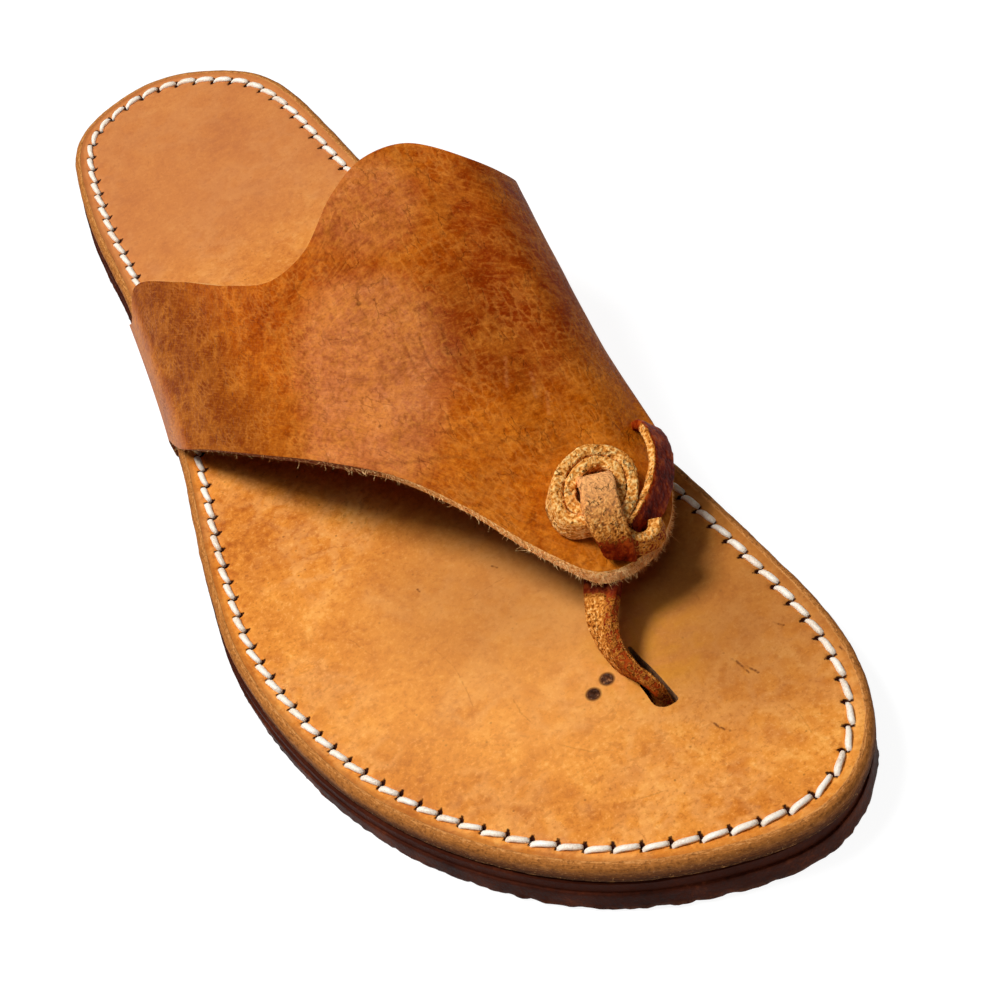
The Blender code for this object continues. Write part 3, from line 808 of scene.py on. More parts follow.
strap = {
    "wall": 2.2 * mm,
    "seatWall": 1.3 * mm,
    "skive": (12 * mm, 20 * mm),  # heights between which the wall thickens
    "standOff": 1.0 * mm,
    "turn": 1.7 * mm,
    "seatBottom": 5.15 * mm,
    "foldSteps": 15,
    "rows": 120,
    "edgeRound": 0.3 * mm,
    "slant": 1.3 * mm,  # how far the grain side stops short of the flesh side at the tip's cut edge
    "slantRows": 8,
    "waves": [(0.1, 14 * mm, 1), (0.035, 4 * mm, 2)],  # depth in mm, size and seed
    # Tones from dark to light: over the foot, low on the outer side and at the tip, and for the painted sheen
    "brown": [(0.38, 130, 46, 1), (0.47, 158, 66, 3), (0.54, 174, 80, 6), (0.62, 200, 104, 20)],
    "orange": [(0.38, 134, 56, 1), (0.47, 162, 76, 4), (0.54, 181, 92, 8), (0.62, 206, 118, 26)],
    "pink": [(0.38, 160, 84, 38), (0.47, 188, 107, 58), (0.54, 203, 123, 72), (0.62, 224, 150, 98)],
    # Places of painted pale sheen, and darker places with painted shade where the strap turns from the light,
    # in mm: the middle, the reach of its full tone and its end, and its strength
    "paintedSheen": [((-1, -16, 43), 5, 24, 0.85), ((-8, -27, 36), 5, 20, 0.7), ((12, 9, 51), 4, 16, 0.5)],
    "dark": [((26, -20, 39), 6, 26, 0.66), ((34, 2, 44), 4, 20, 0.5), ((-30, 34, 24), 3, 10, 0.3)],
}

# Its folds from the outer side to the inner: along, across and up at the back edge, then at the front edge
strapFolds = [
    (0.308, -0.358, 0.163, 0.457, -0.398, 0.128),
    (0.307, -0.323, 0.326, 0.498, -0.348, 0.267),
    (0.365, -0.243, 0.535, 0.556, -0.265, 0.430),
    (0.426, -0.166, 0.698, 0.606, -0.171, 0.523),
    (0.468, -0.088, 0.826, 0.652, -0.072, 0.535),
    (0.474, -0.011, 0.919, 0.699, 0.011, 0.477),
    (0.447, 0.088, 0.988, 0.750, 0.088, 0.384),
    (0.428, 0.182, 1.000, 0.784, 0.160, 0.314),
    (0.428, 0.276, 0.965, 0.786, 0.227, 0.274),
    (0.460, 0.376, 0.872, 0.772, 0.315, 0.244),
    (0.460, 0.447, 0.657, 0.743, 0.371, 0.233),
    (0.417, 0.436, 0.465, 0.691, 0.417, 0.267),
    (0.359, 0.404, 0.256, 0.620, 0.419, 0.186),
    (0.330, 0.354, 0.116, 0.550, 0.406, 0.093),
]

# Fine creases and pale veins, as plan points in mm
strapCreases = [
    [(9.1, -17.2), (8.3, -20.4), (8.1, -22.6), (8.9, -25.6)], [(13.1, -17.4), (12.3, -22.2), (12.9, -25.6)],
    [(-4.6, -9.8), (-1.9, -12.2), (1.7, -13.0)], [(5.9, -18.0), (5.6, -21.9)],
    [(-8.6, -31.8), (-3.3, -35.5), (4.9, -39.9)],
]
strapVeins = [
    [(9.7, -26.9), (11.9, -30.3)], [(20.1, -26.9), (17.8, -31.8)], [(22.8, -30.9), (21.3, -35.2)],
    [(23.4, -35.2), (21.7, -38.7)],
]

# Soft troughs pressed into the surface itself: plan points in mm, half width and depth in mm, a ridge below 0
strapTroughs = [
    ([(9.1, -15.0), (8.0, -22.0), (9.5, -28.0)], 1.6, 0.16),
    ([(13.4, -14.0), (12.2, -22.0), (13.2, -28.0)], 1.8, 0.14),
    ([(-6.0, -9.0), (-1.9, -12.2), (3.0, -13.4)], 1.5, 0.12),
    ([(11.0, -18.0), (10.2, -25.0)], 1.2, -0.1),
    ([(-12.0, -28.0), (-3.3, -35.5), (8.0, -42.5)], 1.8, 0.14),
    ([(-20.0, 12.0), (-16.0, 4.0), (-12.0, -8.0)], 3.5, 0.16),
    ([(26.0, -14.0), (24.0, -26.0), (20.5, -38.0)], 2.6, 0.14),
]


def rimAcross(y, side):
    # The rim's x at this y, on the outer (-1) or the inner side (1)
    found = []
    for start, end in zip(rimDense, rimDense[1:] + rimDense[:1]):
        if (start.y - y) * (end.y - y) <= 0 and start.y != end.y:
            found.append(start.lerp(end, (y - start.y) / (end.y - start.y)).x)
    return max(found, key=lambda x: side * x)


def seatLine(share, side):
    # From between footbed and outsole out round a quarter turn and up beside the footbed
    back, front = last["outerSeat"] if side < 0 else last["innerSeat"]
    y = heelY - (back + (front - back) * share) * last["length"]
    face = rimAcross(y, side) + side * strap["standOff"]
    turn = strap["turn"]
    bottom = strap["seatBottom"]
    line = [Vector((face - side * (turn + 2 * mm), y, bottom))]
    line += [Vector((face - side * turn * down, y, bottom + turn * up)) for up, down in quarterTurn()]
    return line + [Vector((face, y, last["footbedTop"]))]


def foldPoint(fold, share):
    along, across, up = Vector(fold[:3]).lerp(Vector(fold[3:]), share)
    return onSole(along, across, last["footbedTop"] + up * last["instep"])


def strapRows():
    rows = []
    for row in range(strap["rows"] + 1):
        share = row / strap["rows"]
        outer = seatLine(share, -1)
        inner = seatLine(share, 1)[::-1]
        over = outer[-2:] + [foldPoint(fold, share) for fold in strapFolds] + inner[:2]
        rows.append(outer[:-2] + spline(over, strap["foldSteps"]) + inner[2:])
    return rows


def creaseDepth(point):
    # How far down the grain lies here, in mm, from every trough near it
    depth = 0.0
    plan = Vector((point.x, point.y, 0)) / mm
    for line, half, deep in strapTroughs:
        for start, end in zip(line, line[1:]):
            run = Vector((*end, 0)) - Vector((*start, 0))
            here = plan - Vector((*start, 0))
            away = (here - run * min(1, max(0, here.dot(run) / run.length_squared))).length
            if away < half * 3:
                depth += 0.7 * deep * math.exp(-(away / half) ** 2)
    return depth


def strapSurface():
    # The sheet's points with its troughs and soft waves pressed in, and its pattern's UV in mm
    rows = strapRows()
    columns = list(zip(*rows))
    shaped = []
    for r, row in enumerate(rows):
        line = []
        for c, point in enumerate(row):
            out = slope(columns[c], r).cross(slope(row, c)).normalized()
            down = creaseDepth(point) + sum(deep * lumpy(point, *wave) for deep, *wave in strap["waves"])
            line.append(point - out * down * ease(point.z, 11 * mm, 18 * mm) * mm)
        shaped.append(line)
    # The pattern is measured across the middle row and down a column beside the tip
    across = runsAlong(rows[len(rows) // 2])
    along = runsAlong(columns[len(columns) * 6 // 10])
    return shaped, [[(u / mm, v / mm) for u in across] for v in along]


strapShape, strapUv = strapSurface()


def slantAt(column):
    # How far the grain stops short of the cut's foot: most at the tip, nothing where the strap goes in
    share = column / (len(strapShape[0]) - 1)
    free = ease(share, 0.12, 0.2) * ease(share, 0.92, 0.84)
    return strap["slant"] * (0.35 + 0.65 * ease(share, 0.3, 0.52)) * free


def makeStrap():
    sheet = gridSheet("strapLeather", strapShape, strapUv)
    crest = max(sheet.data.polygons, key=lambda face: face.center.z)
    if crest.normal.z < 0:
        edit(sheet, True)
        bpy.ops.mesh.flip_normals()
        pick(sheet)
    whole = sheet.vertex_groups.new(name="whole")
    low, high = strap["skive"]
    for vert in sheet.data.vertices:
        whole.add([vert.index], min(1, max(0, (vert.co.z - low) / (high - low))), "REPLACE")
    # Three finishes: grain, flesh and cut edge
    holdPlaces(sheet, 3)
    solid = sheet.modifiers.new("wall", "SOLIDIFY")
    solid.thickness = strap["wall"]
    solid.offset = -1
    solid.vertex_group = "whole"
    solid.thickness_vertex_group = strap["seatWall"] / strap["wall"]
    solid.material_offset = 1
    solid.material_offset_rim = 2
    applyModifiers(sheet)
    across = len(strapShape[0])
    for back in range(strap["slantRows"]):
        row = len(strapShape) - 1 - back
        for column in range(across):
            step = strapShape[row][column] - strapShape[row - 1][column]
            moved = step.normalized() * slantAt(column) * (1 - back / strap["slantRows"])
            sheet.data.vertices[row * across + column].co -= moved
    # The cut edges: a ring of edges between cut and grain or flesh, softened
    edit(sheet, False, "EDGE")
    form = bmesh.from_edit_mesh(sheet.data)
    for edge in form.edges:
        kinds = {face.material_index for face in edge.link_faces}
        edge.select = 2 in kinds and len(kinds) > 1
    bmesh.update_edit_mesh(sheet.data)
    bpy.ops.mesh.bevel(offset=strap["edgeRound"], segments=2, profile=0.5, affect="EDGES", clamp_overlap=True)
    return smoothed(sheet, 50)


def strapLook():
    look = Look("saddleLeather", Roughness=0.45, Specular_IOR_Level=0.04, Specular_Tint=(1, 0.68, 0.42, 1))
    u, v = look.uv()
    x, y, z = look.axes()
    cloud = look.noise(8 * mm, 6, 0.66, warp=0.3)
    fine = look.noise(1.3 * mm, 5, 0.72)
    grit = look.noise(0.6 * mm, 4, 0.74)
    tone = look.noise(30 * mm, 3, 0.5) * 0.24 + cloud * 0.32 + fine * 0.44
    brown, orange, pink = (look.ramp(tone, *strap[name]) for name in ("brown", "orange", "pink"))
    # Brown on top, orange low on the outer side and at the tip, a painted pale sheen between
    wavy = (cloud - 0.5) * 0.7
    colour = look.mix((z + wavy * (16 * mm)).between(26 * mm, 42 * mm), orange, brown)
    # Painted sheen where the light glances off the strap
    for place, full, reach, amount in strap["paintedSheen"]:
        spot = look.near(place, full, reach)
        colour = look.mix((spot + wavy * 0.8).between(0.15, 0.85) * amount, colour, pink)
    # Painted shade where the strap turns away from the light, over its own darker patches
    for place, full, reach, amount in strap["dark"]:
        spot = look.near(place, full, reach)
        colour = look.over(colour, ((spot + wavy).between(0.2, 0.9) * amount, 112, 24, 0))
    # Painted shade where it bends down to its outer seat, and a painted reflection where it rolls under
    low = (z - y * 0.1) / mm + wavy * 3
    outer = x.between(-14 * mm, -20 * mm)
    bend = low.band(16.5, 20, 27, 39) * outer
    rolled = low.band(6, 14, 14.5, 19) * outer
    blots = look.noise(3.2 * mm, 4, 0.7, warp=0.4).between(0.54, 0.66)
    # Soft pale veins round darker patches of 3 to 8 mm
    patch = look.net(4.2 * mm, 0.3, look.bent(2.5 * mm, 3.2 * mm))
    patch = patch * look.noise(9 * mm, 3).between(0.38, 0.62)
    # A net of fine wrinkles, longer towards the toe, and short cracks in it
    across = look.onUv(u + (fine - 0.5) * 1.6, v * 0.42 + (cloud - 0.5) * 3)
    net = look.net(1.5, 0.2, across) * look.noise(7 * mm, 3).between(0.42, 0.6)
    crack = look.net(2.1, 0.07, across) * look.noise(4 * mm, 3).between(0.52, 0.62)
    pits = look.cells(5.2 * mm).between(0.08, 0.03) * cloud.between(0.5, 0.6)
    pits = look.maths("MAXIMUM", pits, look.near((2.7, -7.4, 46.3), 0.2, 0.6))
    # Listed fine creases, with painted shade in them
    folds = look.strokes(strapCreases, 0.5 * mm)
    streak = look.noise(0.9, 4, 0.7, place=look.onUv(u * 0.3, v))
    colour = look.over(
        colour, (bend * 0.85, 116, 46, 0), (rolled * 0.75, 176, 120, 92), (blots * 0.3, 112, 42, 3),
        (patch * 0.24, 226, 138, 44), (net * 0.2, 234, 152, 64), (crack * 0.36, 90, 30, 3),
        (pits * 0.6, 84, 32, 8), (folds * 0.42, 96, 38, 10),
        (look.strokes(strapVeins, 0.6 * mm) * 0.22, 226, 146, 84),
        (grit.between(0.5, 0.62) * 0.14, 228, 142, 48),
        (grit.between(0.5, 0.38) * 0.26, 104, 42, 6),
        (streak.between(0.5, 0.66) * 0.17, 230, 146, 58),
        (streak.between(0.48, 0.34) * 0.2, 108, 40, 2))
    relief = (look.cells(0.6 * mm) * 0.5 + look.noise(0.35 * mm, 3) * 0.5) * 0.34 + grit * 0.24 + streak * 0.2
    relief = relief + cloud * 0.4 + fine * 0.6 - net * 0.1 - crack * 0.3 - pits * 0.3 - folds * 0.3
    gloss = tone.between(0.4, 0.6, 0.42, 0.56) + look.noise(1.1 * mm, 3) * 0.1
    return look.wire(Base_Color=colour, Roughness=gloss, Normal=look.bump(relief, 0.4 * mm, 0.6))


def fleshLook():
    look = Look("fleshSide", Roughness=0.9, Specular_IOR_Level=0.1)
    nap = look.noise(0.7 * mm, 5, 0.7)
    cloud = look.noise(9 * mm, 3)
    colour = look.ramp(nap * 0.5 + cloud * 0.5, (0.35, 78, 32, 10), (0.62, 138, 74, 32))
    return look.wire(Base_Color=colour, Normal=look.bump(nap, 0.3 * mm, 0.8))


def rawEdgeLook():
    look = Look("rawEdge", Roughness=0.9, Specular_IOR_Level=0.1)
    x, y = look.axes()[:2]
    nap = look.noise(0.55 * mm, 5, 0.75)
    colour = look.ramp(nap, (0.34, 172, 102, 40), (0.48, 232, 162, 84), (0.62, 252, 214, 146))
    # Darker along the front of the wing, fibrous and pale elsewhere
    wing = (x + (nap - 0.5) * (9 * mm)).between(0, -13 * mm) * (y + x * 0.9).between(0, -6 * mm)
    colour = look.over(colour, (wing * nap.between(0.6, 0.5, 0.6, 0.95), 92, 28, 10))
    return look.wire(Base_Color=colour, Normal=look.bump(nap, 0.3 * mm, 0.9))


finished(makeStrap(), [strapLook(), fleshLook(), rawEdgeLook()], "saddle_leather", "upper")
print("strap done")


# Thong: one narrow strip, flesh side out on the post, rolled, folded and looped into the knot

knot = {
    # Where the knot stands on the strap, its own axes, and how far it keeps off the grain
    "at": Vector((20.19, -54.75, 28.17)) * mm,
    "up": Vector((0.238, -0.334, 0.912)).normalized(),
    "inward": Vector((0.968, 0, -0.253)),
    "seated": 0.35 * mm,
    "postWidth": 6.4 * mm,
    "thick": 2.2 * mm,
    "coilThick": 2.05 * mm,
    "coilTall": 5.4 * mm,
    "coilTurns": 1.97,
    "coilPitch": 2.2 * mm,
    "coilRadii": (8.7 * mm, 7.0 * mm),
    "coilHeading": math.radians(-37),
    "coilCentre": (-0.9 * mm, 1.0 * mm),
    "coilStart": math.radians(126),
    "coilSteps": 60,
    "coilWave": 0.03,  # share by which its height wanders
    "bandThick": 1.7 * mm,
    "loopThick": 2.4 * mm,
    "nap": 0.16 * mm,  # depth and sizes of the suede's lumps
    "napLumps": (0.8 * mm, 2.2 * mm),
}
knot["forward"] = knot["inward"].cross(knot["up"])

# The post in mm: place, then the heading of its width from +X towards +Y, and its rise
postPath = [
    (2.6, -76.2, 5.2, -83, 0), (8.2, -79.6, 5.2, -83, 0), (12.3, -82.1, 5.3, -83, 0),
    (14.3, -82.9, 6.5, -84, 0), (14.5, -83.0, 9.0, -84, 0), (13.7, -82.3, 11.7, -83, 22),
    (11.9, -79.6, 13.6, -80, 48), (11.1, -75.9, 15.4, -72, 50), (12.0, -71.2, 17.7, -54, 34),
    (15.0, -66.8, 20.2, -38, 10), (18.0, -62.0, 22.9, -28, -6),
]
# On the knot, in mm: inward, forward and up, then the heading and rise of the strip's width, and that width
tabPath = [
    (0.2, 0.9, -1.6, 14, 4, 6.4), (0.2, -0.1, 1.8, 8, 2, 6.4), (0.1, -0.3, 4.6, 6, 0, 6.2),
    (-0.4, 1.2, 6.4, 8, 0, 6.2), (-1.4, 4.2, 6.8, 8, 0, 6.2), (-1.8, 7.2, 6.3, 9, -1, 6.4),
    (-1.3, 9.8, 4.6, 14, -2, 6.4), (-0.6, 11.7, 2.4, 20, -3, 6.0), (-0.1, 12.5, 0.9, 24, -3, 5.4),
]
bandPath = [
    (15.4, -10.6, -5.6, -150, 22, 4.4), (15.3, -9.7, -2.6, -155, 28, 4.4), (15.1, -8.5, -0.1, -158, 34, 4.8),
    (14.7, -6.4, 1.9, -168, 40, 5.5), (14.3, -3.5, 2.7, 173, 42, 6.1), (13.4, -0.6, 2.8, 179, 42, 6.3),
    (12.0, 2.0, 2.8, 185, 42, 6.4), (10.1, 4.5, 2.9, 193, 43, 6.4), (7.8, 6.7, 2.9, 202, 46, 6.2),
    (5.3, 8.4, 2.9, 212, 52, 5.8), (3.2, 9.4, 2.8, 220, 58, 5.2),
]
loopPath = [
    (1.2, 9.7, 2.5, -10, 62, 3.6), (2.3, 11.3, 2.4, -40, 60, 3.6), (4.0, 12.1, 2.3, -72, 60, 3.6),
    (5.9, 11.9, 2.3, -112, 60, 3.6), (7.3, 10.7, 2.4, -150, 62, 3.6), (7.7, 9.2, 2.6, 178, 66, 3.4),
]


def pointing(heading, rise, first, second, third):
    # A direction turned by its heading from the first axis to the second, then raised towards the third
    around = math.radians(heading)
    lift = math.radians(rise)
    return (first * math.cos(around) + second * math.sin(around)) * math.cos(lift) + third * math.sin(lift)


def knotPoint(inward, forward, up):
    return knot["at"] + knot["inward"] * inward + knot["forward"] * forward + knot["up"] * up


def strapFaces():
    across = len(strapShape[0])
    corners = [row * across + column for row in range(len(strapShape) - 1) for column in range(across - 1)]
    return [(corner, corner + 1, corner + across + 1, corner + across) for corner in corners]


strapTree = BVHTree.FromPolygons([point for row in strapShape for point in row], strapFaces())


def onStrap(inward, forward, up):
    foot = strapTree.ray_cast(knotPoint(inward, forward, 20 * mm), -knot["up"])[0]
    return foot + knot["up"] * (up + knot["seated"])


def knotPath(rows, at=knotPoint):
    # A strip's places and half widths from its rows in mm
    places = [at(inward * mm, forward * mm, up * mm) for inward, forward, up, *_ in rows]
    asides = [pointing(heading, rise, knot["inward"], knot["forward"], knot["up"]) * width / 2 * mm
              for *_, heading, rise, width in rows]
    return places, asides


def sectionLine(halfWidth, halfThick):
    # A rounded oblong: each point's place across and through, and its side from 0 to 4
    turn = 0.32 * halfThick
    flat = halfWidth - turn
    deep = halfThick - turn
    sides = [(-flat, halfThick, flat, halfThick, 8), (halfWidth, deep, halfWidth, -deep, 4),
             (flat, -halfThick, -flat, -halfThick, 8), (-halfWidth, -deep, -halfWidth, deep, 4)]
    line = []
    for side, (startA, startB, endA, endB, steps) in enumerate(sides):
        for step in range(steps + 1):
            share = step / steps
            place = (startA + (endA - startA) * share, startB + (endB - startB) * share)
            line.append((*place, side + min(0.98, share)))
    return line


def leatherStrip(name, path, asides, thick, steps, seed):
    # A flat strip along a smooth path; asides reach from its middle to its edge. UV is length and side
    points = spline(path, steps)
    runs = runsAlong(points)
    small, large = knot["napLumps"]
    rows = []
    uvRows = []
    for index, aside in enumerate(spline(asides, steps, tension=0)):
        through = slope(points, index).normalized().cross(aside).normalized()
        across = aside.normalized()
        section = sectionLine(aside.length, thick / 2)
        row = []
        for a, b, side in section:
            place = points[index] + across * a + through * b
            out = (across * (a / aside.length) ** 3 + through * (b / thick * 2) ** 3).normalized()
            nap = lumpy(place, small, seed) + 0.7 * lumpy(place, large, seed + 3)
            row.append(place + out * nap * knot["nap"])
        rows.append(row)
        uvRows.append([(runs[index] / mm, side) for *_, side in section + [(0, 0, 4.0)]])
    return smoothed(closedShell(name, rows, uvRows), 55)


def makePost():
    path = [Vector(row[:3]) * mm for row in postPath]
    axes = (Vector((1, 0, 0)), Vector((0, 1, 0)), upward)
    asides = [pointing(*row[3:], *axes) * knot["postWidth"] / 2 for row in postPath]
    tab, tabAsides = knotPath(tabPath, onStrap)
    return leatherStrip("postStrip", path + tab, asides + tabAsides, knot["thick"], 6, 1)


def makeCoil():
    path = []
    asides = []
    for step in range(knot["coilSteps"] + 1):
        turned = knot["coilTurns"] * step / knot["coilSteps"]
        angle = knot["coilStart"] - 2 * math.pi * turned
        longWay, shortWay = (radius - knot["coilPitch"] * turned for radius in knot["coilRadii"])
        around = Vector((longWay * math.cos(angle), shortWay * math.sin(angle)))
        inward, forward = Vector(knot["coilCentre"]) + Matrix.Rotation(knot["coilHeading"], 2) @ around
        tall = knot["coilTall"] * (1 + knot["coilWave"] * math.sin(5 * angle))
        path.append(onStrap(inward, forward, tall / 2))
        asides.append(knot["up"] * tall / 2)
    return leatherStrip("coilStrip", path, asides, knot["coilThick"], 4, 5)


def stripLook(name, sides, pale=0.0, darkEnd=None, spread=None):
    # sides: how red-brown each of its four sides is, 0 for tan suede. darkEnd: where along it, in mm, a dark
    # end starts and is full; on the post it is painted shade where the tail curves under, on the band its own
    # dark
    # tip. spread: where the dark edge's speckle narrows from the whole width, and to what; with it come
    # painted shade on the post's top under the strap and painted light on its tab
    look = Look(name, Roughness=0.85, Specular_IOR_Level=0.03)
    u, v = look.uv()
    nap = look.noise(0.65 * mm, 3, 0.75)
    lump = look.noise(2.2 * mm, 3, 0.6)
    tones = [(0.36, 104, 48, 8), (0.45, 186, 108, 36), (0.53, 232, 156, 72), (0.64, 255, 210, 136)]
    suede = look.ramp(nap * 0.85 + lump * 0.15, *((at - pale * 0.07, *tone) for at, *tone in tones))
    grain = look.ramp(lump * 0.6 + nap * 0.4, (0.36, 66, 8, 0), (0.5, 120, 30, 3), (0.62, 172, 72, 20))
    share = 0
    for side, amount in enumerate(sides):
        share = v.band(side - 0.06, side + 0.06, side + 0.94, side + 1.06) * amount + share
    if spread:
        start, end, narrow = spread
        reach = u.between(start, end, 1.1, narrow)
        share = share + v.between(1.96, 2.04) * (v - reach).between(2.08, 1.84) * 0.42
        # Painted shade on the post's top under the strap, in the dark grain's colour
        share = share + u.band(36, 38.5, 43, 45)
        # Painted light brightening the tab
        suede = look.over(suede, (u.band(45, 48, 60, 72) * 0.72, 255, 184, 118))
    # A dark end: painted shade where the post's tail curves under, the band's own dark tip
    if darkEnd:
        share = share + u.between(*darkEnd)
    broken = (share + (nap - 0.5) * 1.7 + (lump - 0.5) * 0.7).between(0.4, 0.6)
    # Dark pits and short cracks where the fibres part
    crack = look.net(1.5 * mm, 0.12, look.bent(0.9 * mm, 1.4 * mm)) * (1 - broken)
    crack = crack * look.noise(2.2 * mm, 3).between(0.54, 0.62)
    colour = look.over(look.mix(broken, suede, grain), (crack * 0.4, 112, 50, 12))
    if spread:
        # Painted shade deepening the post's top under the strap
        colour = look.over(colour, (u.band(35.5, 38, 44, 45) * 0.6, 52, 12, 4))
    relief = look.bump(nap * (1 - broken * 0.6) * 1.4 + lump * 0.8 - crack * 0.8, 0.5 * mm, 0.9)
    return look.wire(Base_Color=colour, Roughness=0.92 - broken * 0.4, Normal=relief)


# Each strip, and how its look differs
strips = {
    # The post's dark end is painted shade where its tail curves under
    "suedePost": (makePost(), (0.16, 0.48, 0.06, 0.15), -0.3, (69.0, 77.0), (21.0, 27.0, 0.34)),
    "suedeCoil": (makeCoil(), (0.12, 0.0, 0.12, 0.2), 0.5),
    "suedeBand": (leatherStrip("bandStrip", *knotPath(bandPath), knot["bandThick"], 7, 8),
                  (0.3, 0.04, 1.4, 1.0), 0.3, (8.5, 6.0)),
    "suedeLoop": (leatherStrip("loopStrip", *knotPath(loopPath), knot["loopThick"], 7, 11),
                  (0.5, 0.0, 0.1, 0.8), 0.4),
}
for name, (strip, *differences) in strips.items():
    finished(strip, stripLook(name, *differences), "suede_strip", "toe_thong")
print("thong done")


# Nails that hold the strip's tail

nailHead = {
    "radius": 1.08 * mm,
    "crown": 0.12 * mm,
    "deep": 0.9 * mm,
    "around": 32,
    "uneven": 0.035,  # share by which its rim wanders, then the depth of its dents
    "dents": 0.04 * mm,
}


def makeNail(name, place, seed):
    top = last["footbedTop"] + nailHead["crown"]
    levels = [(1.0, top - nailHead["deep"]), (1.0, top - 0.16 * mm), (0.95, top - 0.05 * mm), (0.86, top),
              (0.74, top - 0.05 * mm), (0.5, top - 0.03 * mm), (0.25, top)]
    lift = upward * seed
    rows = []
    for share, height in levels:
        row = []
        for way in ring(nailHead["around"]):
            reach = nailHead["radius"] * share * (1 + nailHead["uneven"] * noise.noise((way + lift) * 1.7))
            dent = nailHead["dents"] * noise.noise(way * share * 3 + lift)
            row.append(place + way * reach + upward * (height + dent))
        rows.append(row)
    return smoothed(closedShell(name, rows), 50)


def ironLook():
    look = Look("darkIron", Specular_IOR_Level=0.3, Specular_Tint=(1, 0.76, 0.56, 1))
    patch = look.noise(0.9 * mm, 4, 0.7)
    colour = look.ramp(patch, (0.38, 38, 13, 3), (0.52, 70, 32, 12), (0.64, 150, 100, 62))
    return look.wire(Base_Color=colour, Roughness=patch.between(0.3, 0.7, 0.3, 0.6),
                     Normal=look.bump(patch, 0.1 * mm, 0.7))


ironMaterial = ironLook()
for count, place in enumerate(footbed["nails"], 1):
    finished(makeNail(f"nailHead{count}", place, count), ironMaterial, "dark_iron", f"nail_{count}")
print("nails done")


# Loose fibres on the strap's raw front edge

fuzz = {
    "tipHairs": 1000,
    "wingHairs": 200,
    # Shares of the front edge: the tip's middle and spread, the wing's reach, the whole reach, and where
    # a fibre goes that fell outside it
    "tipSpread": (0.58, 0.1),
    "wingReach": (0.12, 0.7),
    "reach": (0.1, 0.71),
    "instead": (0.4, 0.68),
    "deep": 2.1 * mm,  # how much of the cut edge they grow from
    "thick": 0.06 * mm,
    "short": 0.5 * mm,
    "long": 1.5 * mm,
    "stray": 0.02,  # share of fibres that are nearly twice as long
    "lean": (0.15, 0.45),  # middle and spread of their lean over the cut edge, and spread along it
    "sway": 0.7,
    "seed": 11,
}


def hairTemplate():
    # One bent fibre of unit length along Z, three-sided
    rows = []
    for share, bend in ((0.0, 0.0), (0.35, 0.03), (0.7, 0.16), (1.0, 0.4)):
        middle = Vector((bend / 0.05, 0, share))
        rows.append([way * (1 - 0.75 * share) + middle for way in ring(3)])
    return closedShell("hairTemplate", rows)


def makeFuzz():
    chance = random.Random(fuzz["seed"])
    front = strapShape[-1]
    behind = strapShape[-2]
    places = []
    columns = len(front)
    for count in range(fuzz["tipHairs"] + fuzz["wingHairs"]):
        atTip = count < fuzz["tipHairs"]
        share = chance.gauss(*fuzz["tipSpread"]) if atTip else chance.uniform(*fuzz["wingReach"])
        if not fuzz["reach"][0] < share < fuzz["reach"][1]:
            share = chance.uniform(*fuzz["instead"])
        column = int(columns * share)
        point = front[column].lerp(front[column + 1], chance.random())
        onwards = (front[column] - behind[column]).normalized()
        sideways = (front[column + 1] - front[column - 1]).normalized()
        through = sideways.cross(onwards).normalized()
        if through.z > 0:
            through = -through
        deep = chance.uniform(0.08, 0.95)
        sunk = slantAt(column) * (1 - deep) + 0.05 * mm
        root = point + through * deep * fuzz["deep"] - onwards * sunk
        way = onwards + through * chance.gauss(*fuzz["lean"]) + sideways * chance.gauss(0, fuzz["sway"])
        way.normalize()
        turned = way.orthogonal().normalized()
        turned.rotate(Matrix.Rotation(chance.uniform(0, 2 * math.pi), 3, way))
        third = way.cross(turned)
        length = fuzz["short"] + (fuzz["long"] - fuzz["short"]) * chance.random() ** 2.2
        if chance.random() < fuzz["stray"]:
            length *= 1.9
        thick = fuzz["thick"] * chance.uniform(0.7, 1.2)
        places.append(standing(root, turned * thick, third * thick, way * length))
    return joinedCopies("edgeFibres", hairTemplate(), places)


def fibreLook():
    look = Look("fibre", Roughness=0.8)
    colour = look.ramp(look.noise(1.5 * mm, 2), (0.35, 214, 146, 76), (0.65, 255, 216, 150))
    return look.wire(Base_Color=colour)


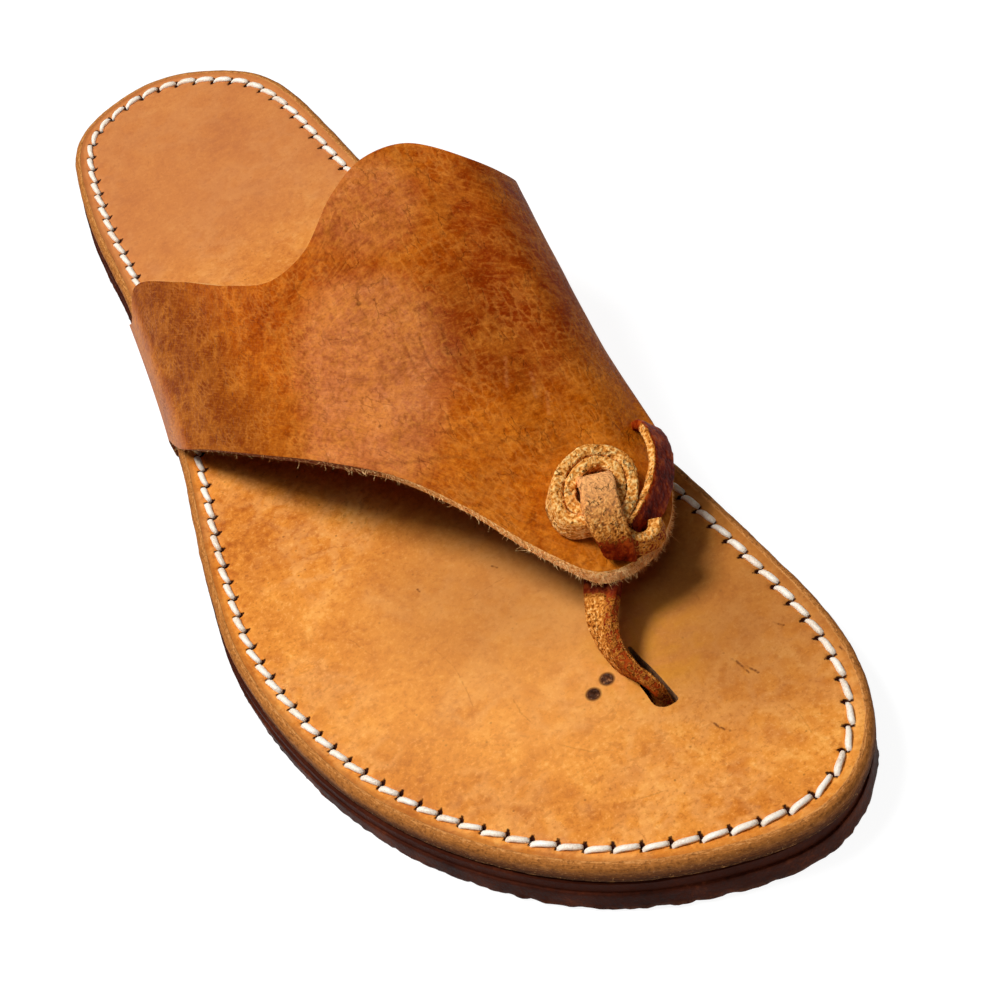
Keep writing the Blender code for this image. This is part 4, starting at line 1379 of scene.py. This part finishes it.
finished(makeFuzz(), fibreLook(), "saddle_leather")
print("fibres done")


# Floor, light and camera

studio = {
    "floorTone": 0.14,
    "floorGlow": 0.93,
    "worldStrength": 0.02,
    # Soft round lights: place, width in metres and power
    "lights": [((-0.3, 0.12, 0.9), 0.3, 8.0), ((-0.34, 0.07, 0.9), 0.4, 1.3), ((-0.1, -0.3, 0.9), 0.5, 1.1),
               ((-0.35, 0.65, 0.6), 0.4, 0.8)],
    "lightsAim": Vector((0, 0, 0.02)),
    "cameraAt": Vector((-40.66, -305.85, 338.35)) * mm,
    # To its right, upwards, and back from where it looks
    "cameraAxes": [(0.8779, -0.4252, -0.2201), (0.4642, 0.6430, 0.6091), (-0.1175, -0.6369, 0.7619)],
    "lens": 86.4,
}


def makeFloor():
    bpy.ops.object.select_all(action="DESELECT")
    bpy.ops.mesh.primitive_plane_add(size=6, location=(0, 0, 0))
    floor = bpy.context.object
    floor.name = "floor"
    tone = (studio["floorTone"],) * 3 + (1,)
    look = Look("paleFloor", Roughness=0.9, Base_Color=tone, Emission_Color=(1, 1, 1, 1),
                Emission_Strength=studio["floorGlow"])
    floor.data.materials.append(look.material)


def softLight(name, place, size, power):
    data = bpy.data.lights.new(name, "AREA")
    data.shape = "DISK"
    data.size = size
    data.energy = power
    lamp = placed(name, data)
    lamp.location = place
    lamp.rotation_euler = (Vector(place) - studio["lightsAim"]).to_track_quat("Z", "Y").to_euler()


makeFloor()
for count, (place, size, power) in enumerate(studio["lights"], 1):
    softLight(f"light{count}", place, size, power)
world = bpy.data.worlds.new("softRoom")
world.use_nodes = True
background = world.node_tree.nodes["Background"].inputs
background[0].default_value = (1, 1, 1, 1)
background[1].default_value = studio["worldStrength"]
bpy.context.scene.world = world
bpy.context.scene.view_settings.view_transform = "Standard"

cameraData = bpy.data.cameras.new("camera")
cameraData.lens = studio["lens"]
cameraData.sensor_width = 36
camera = placed("camera", cameraData)
camera.matrix_world = standing(studio["cameraAt"], *studio["cameraAxes"])
bpy.context.scene.camera = camera
print("studio done")
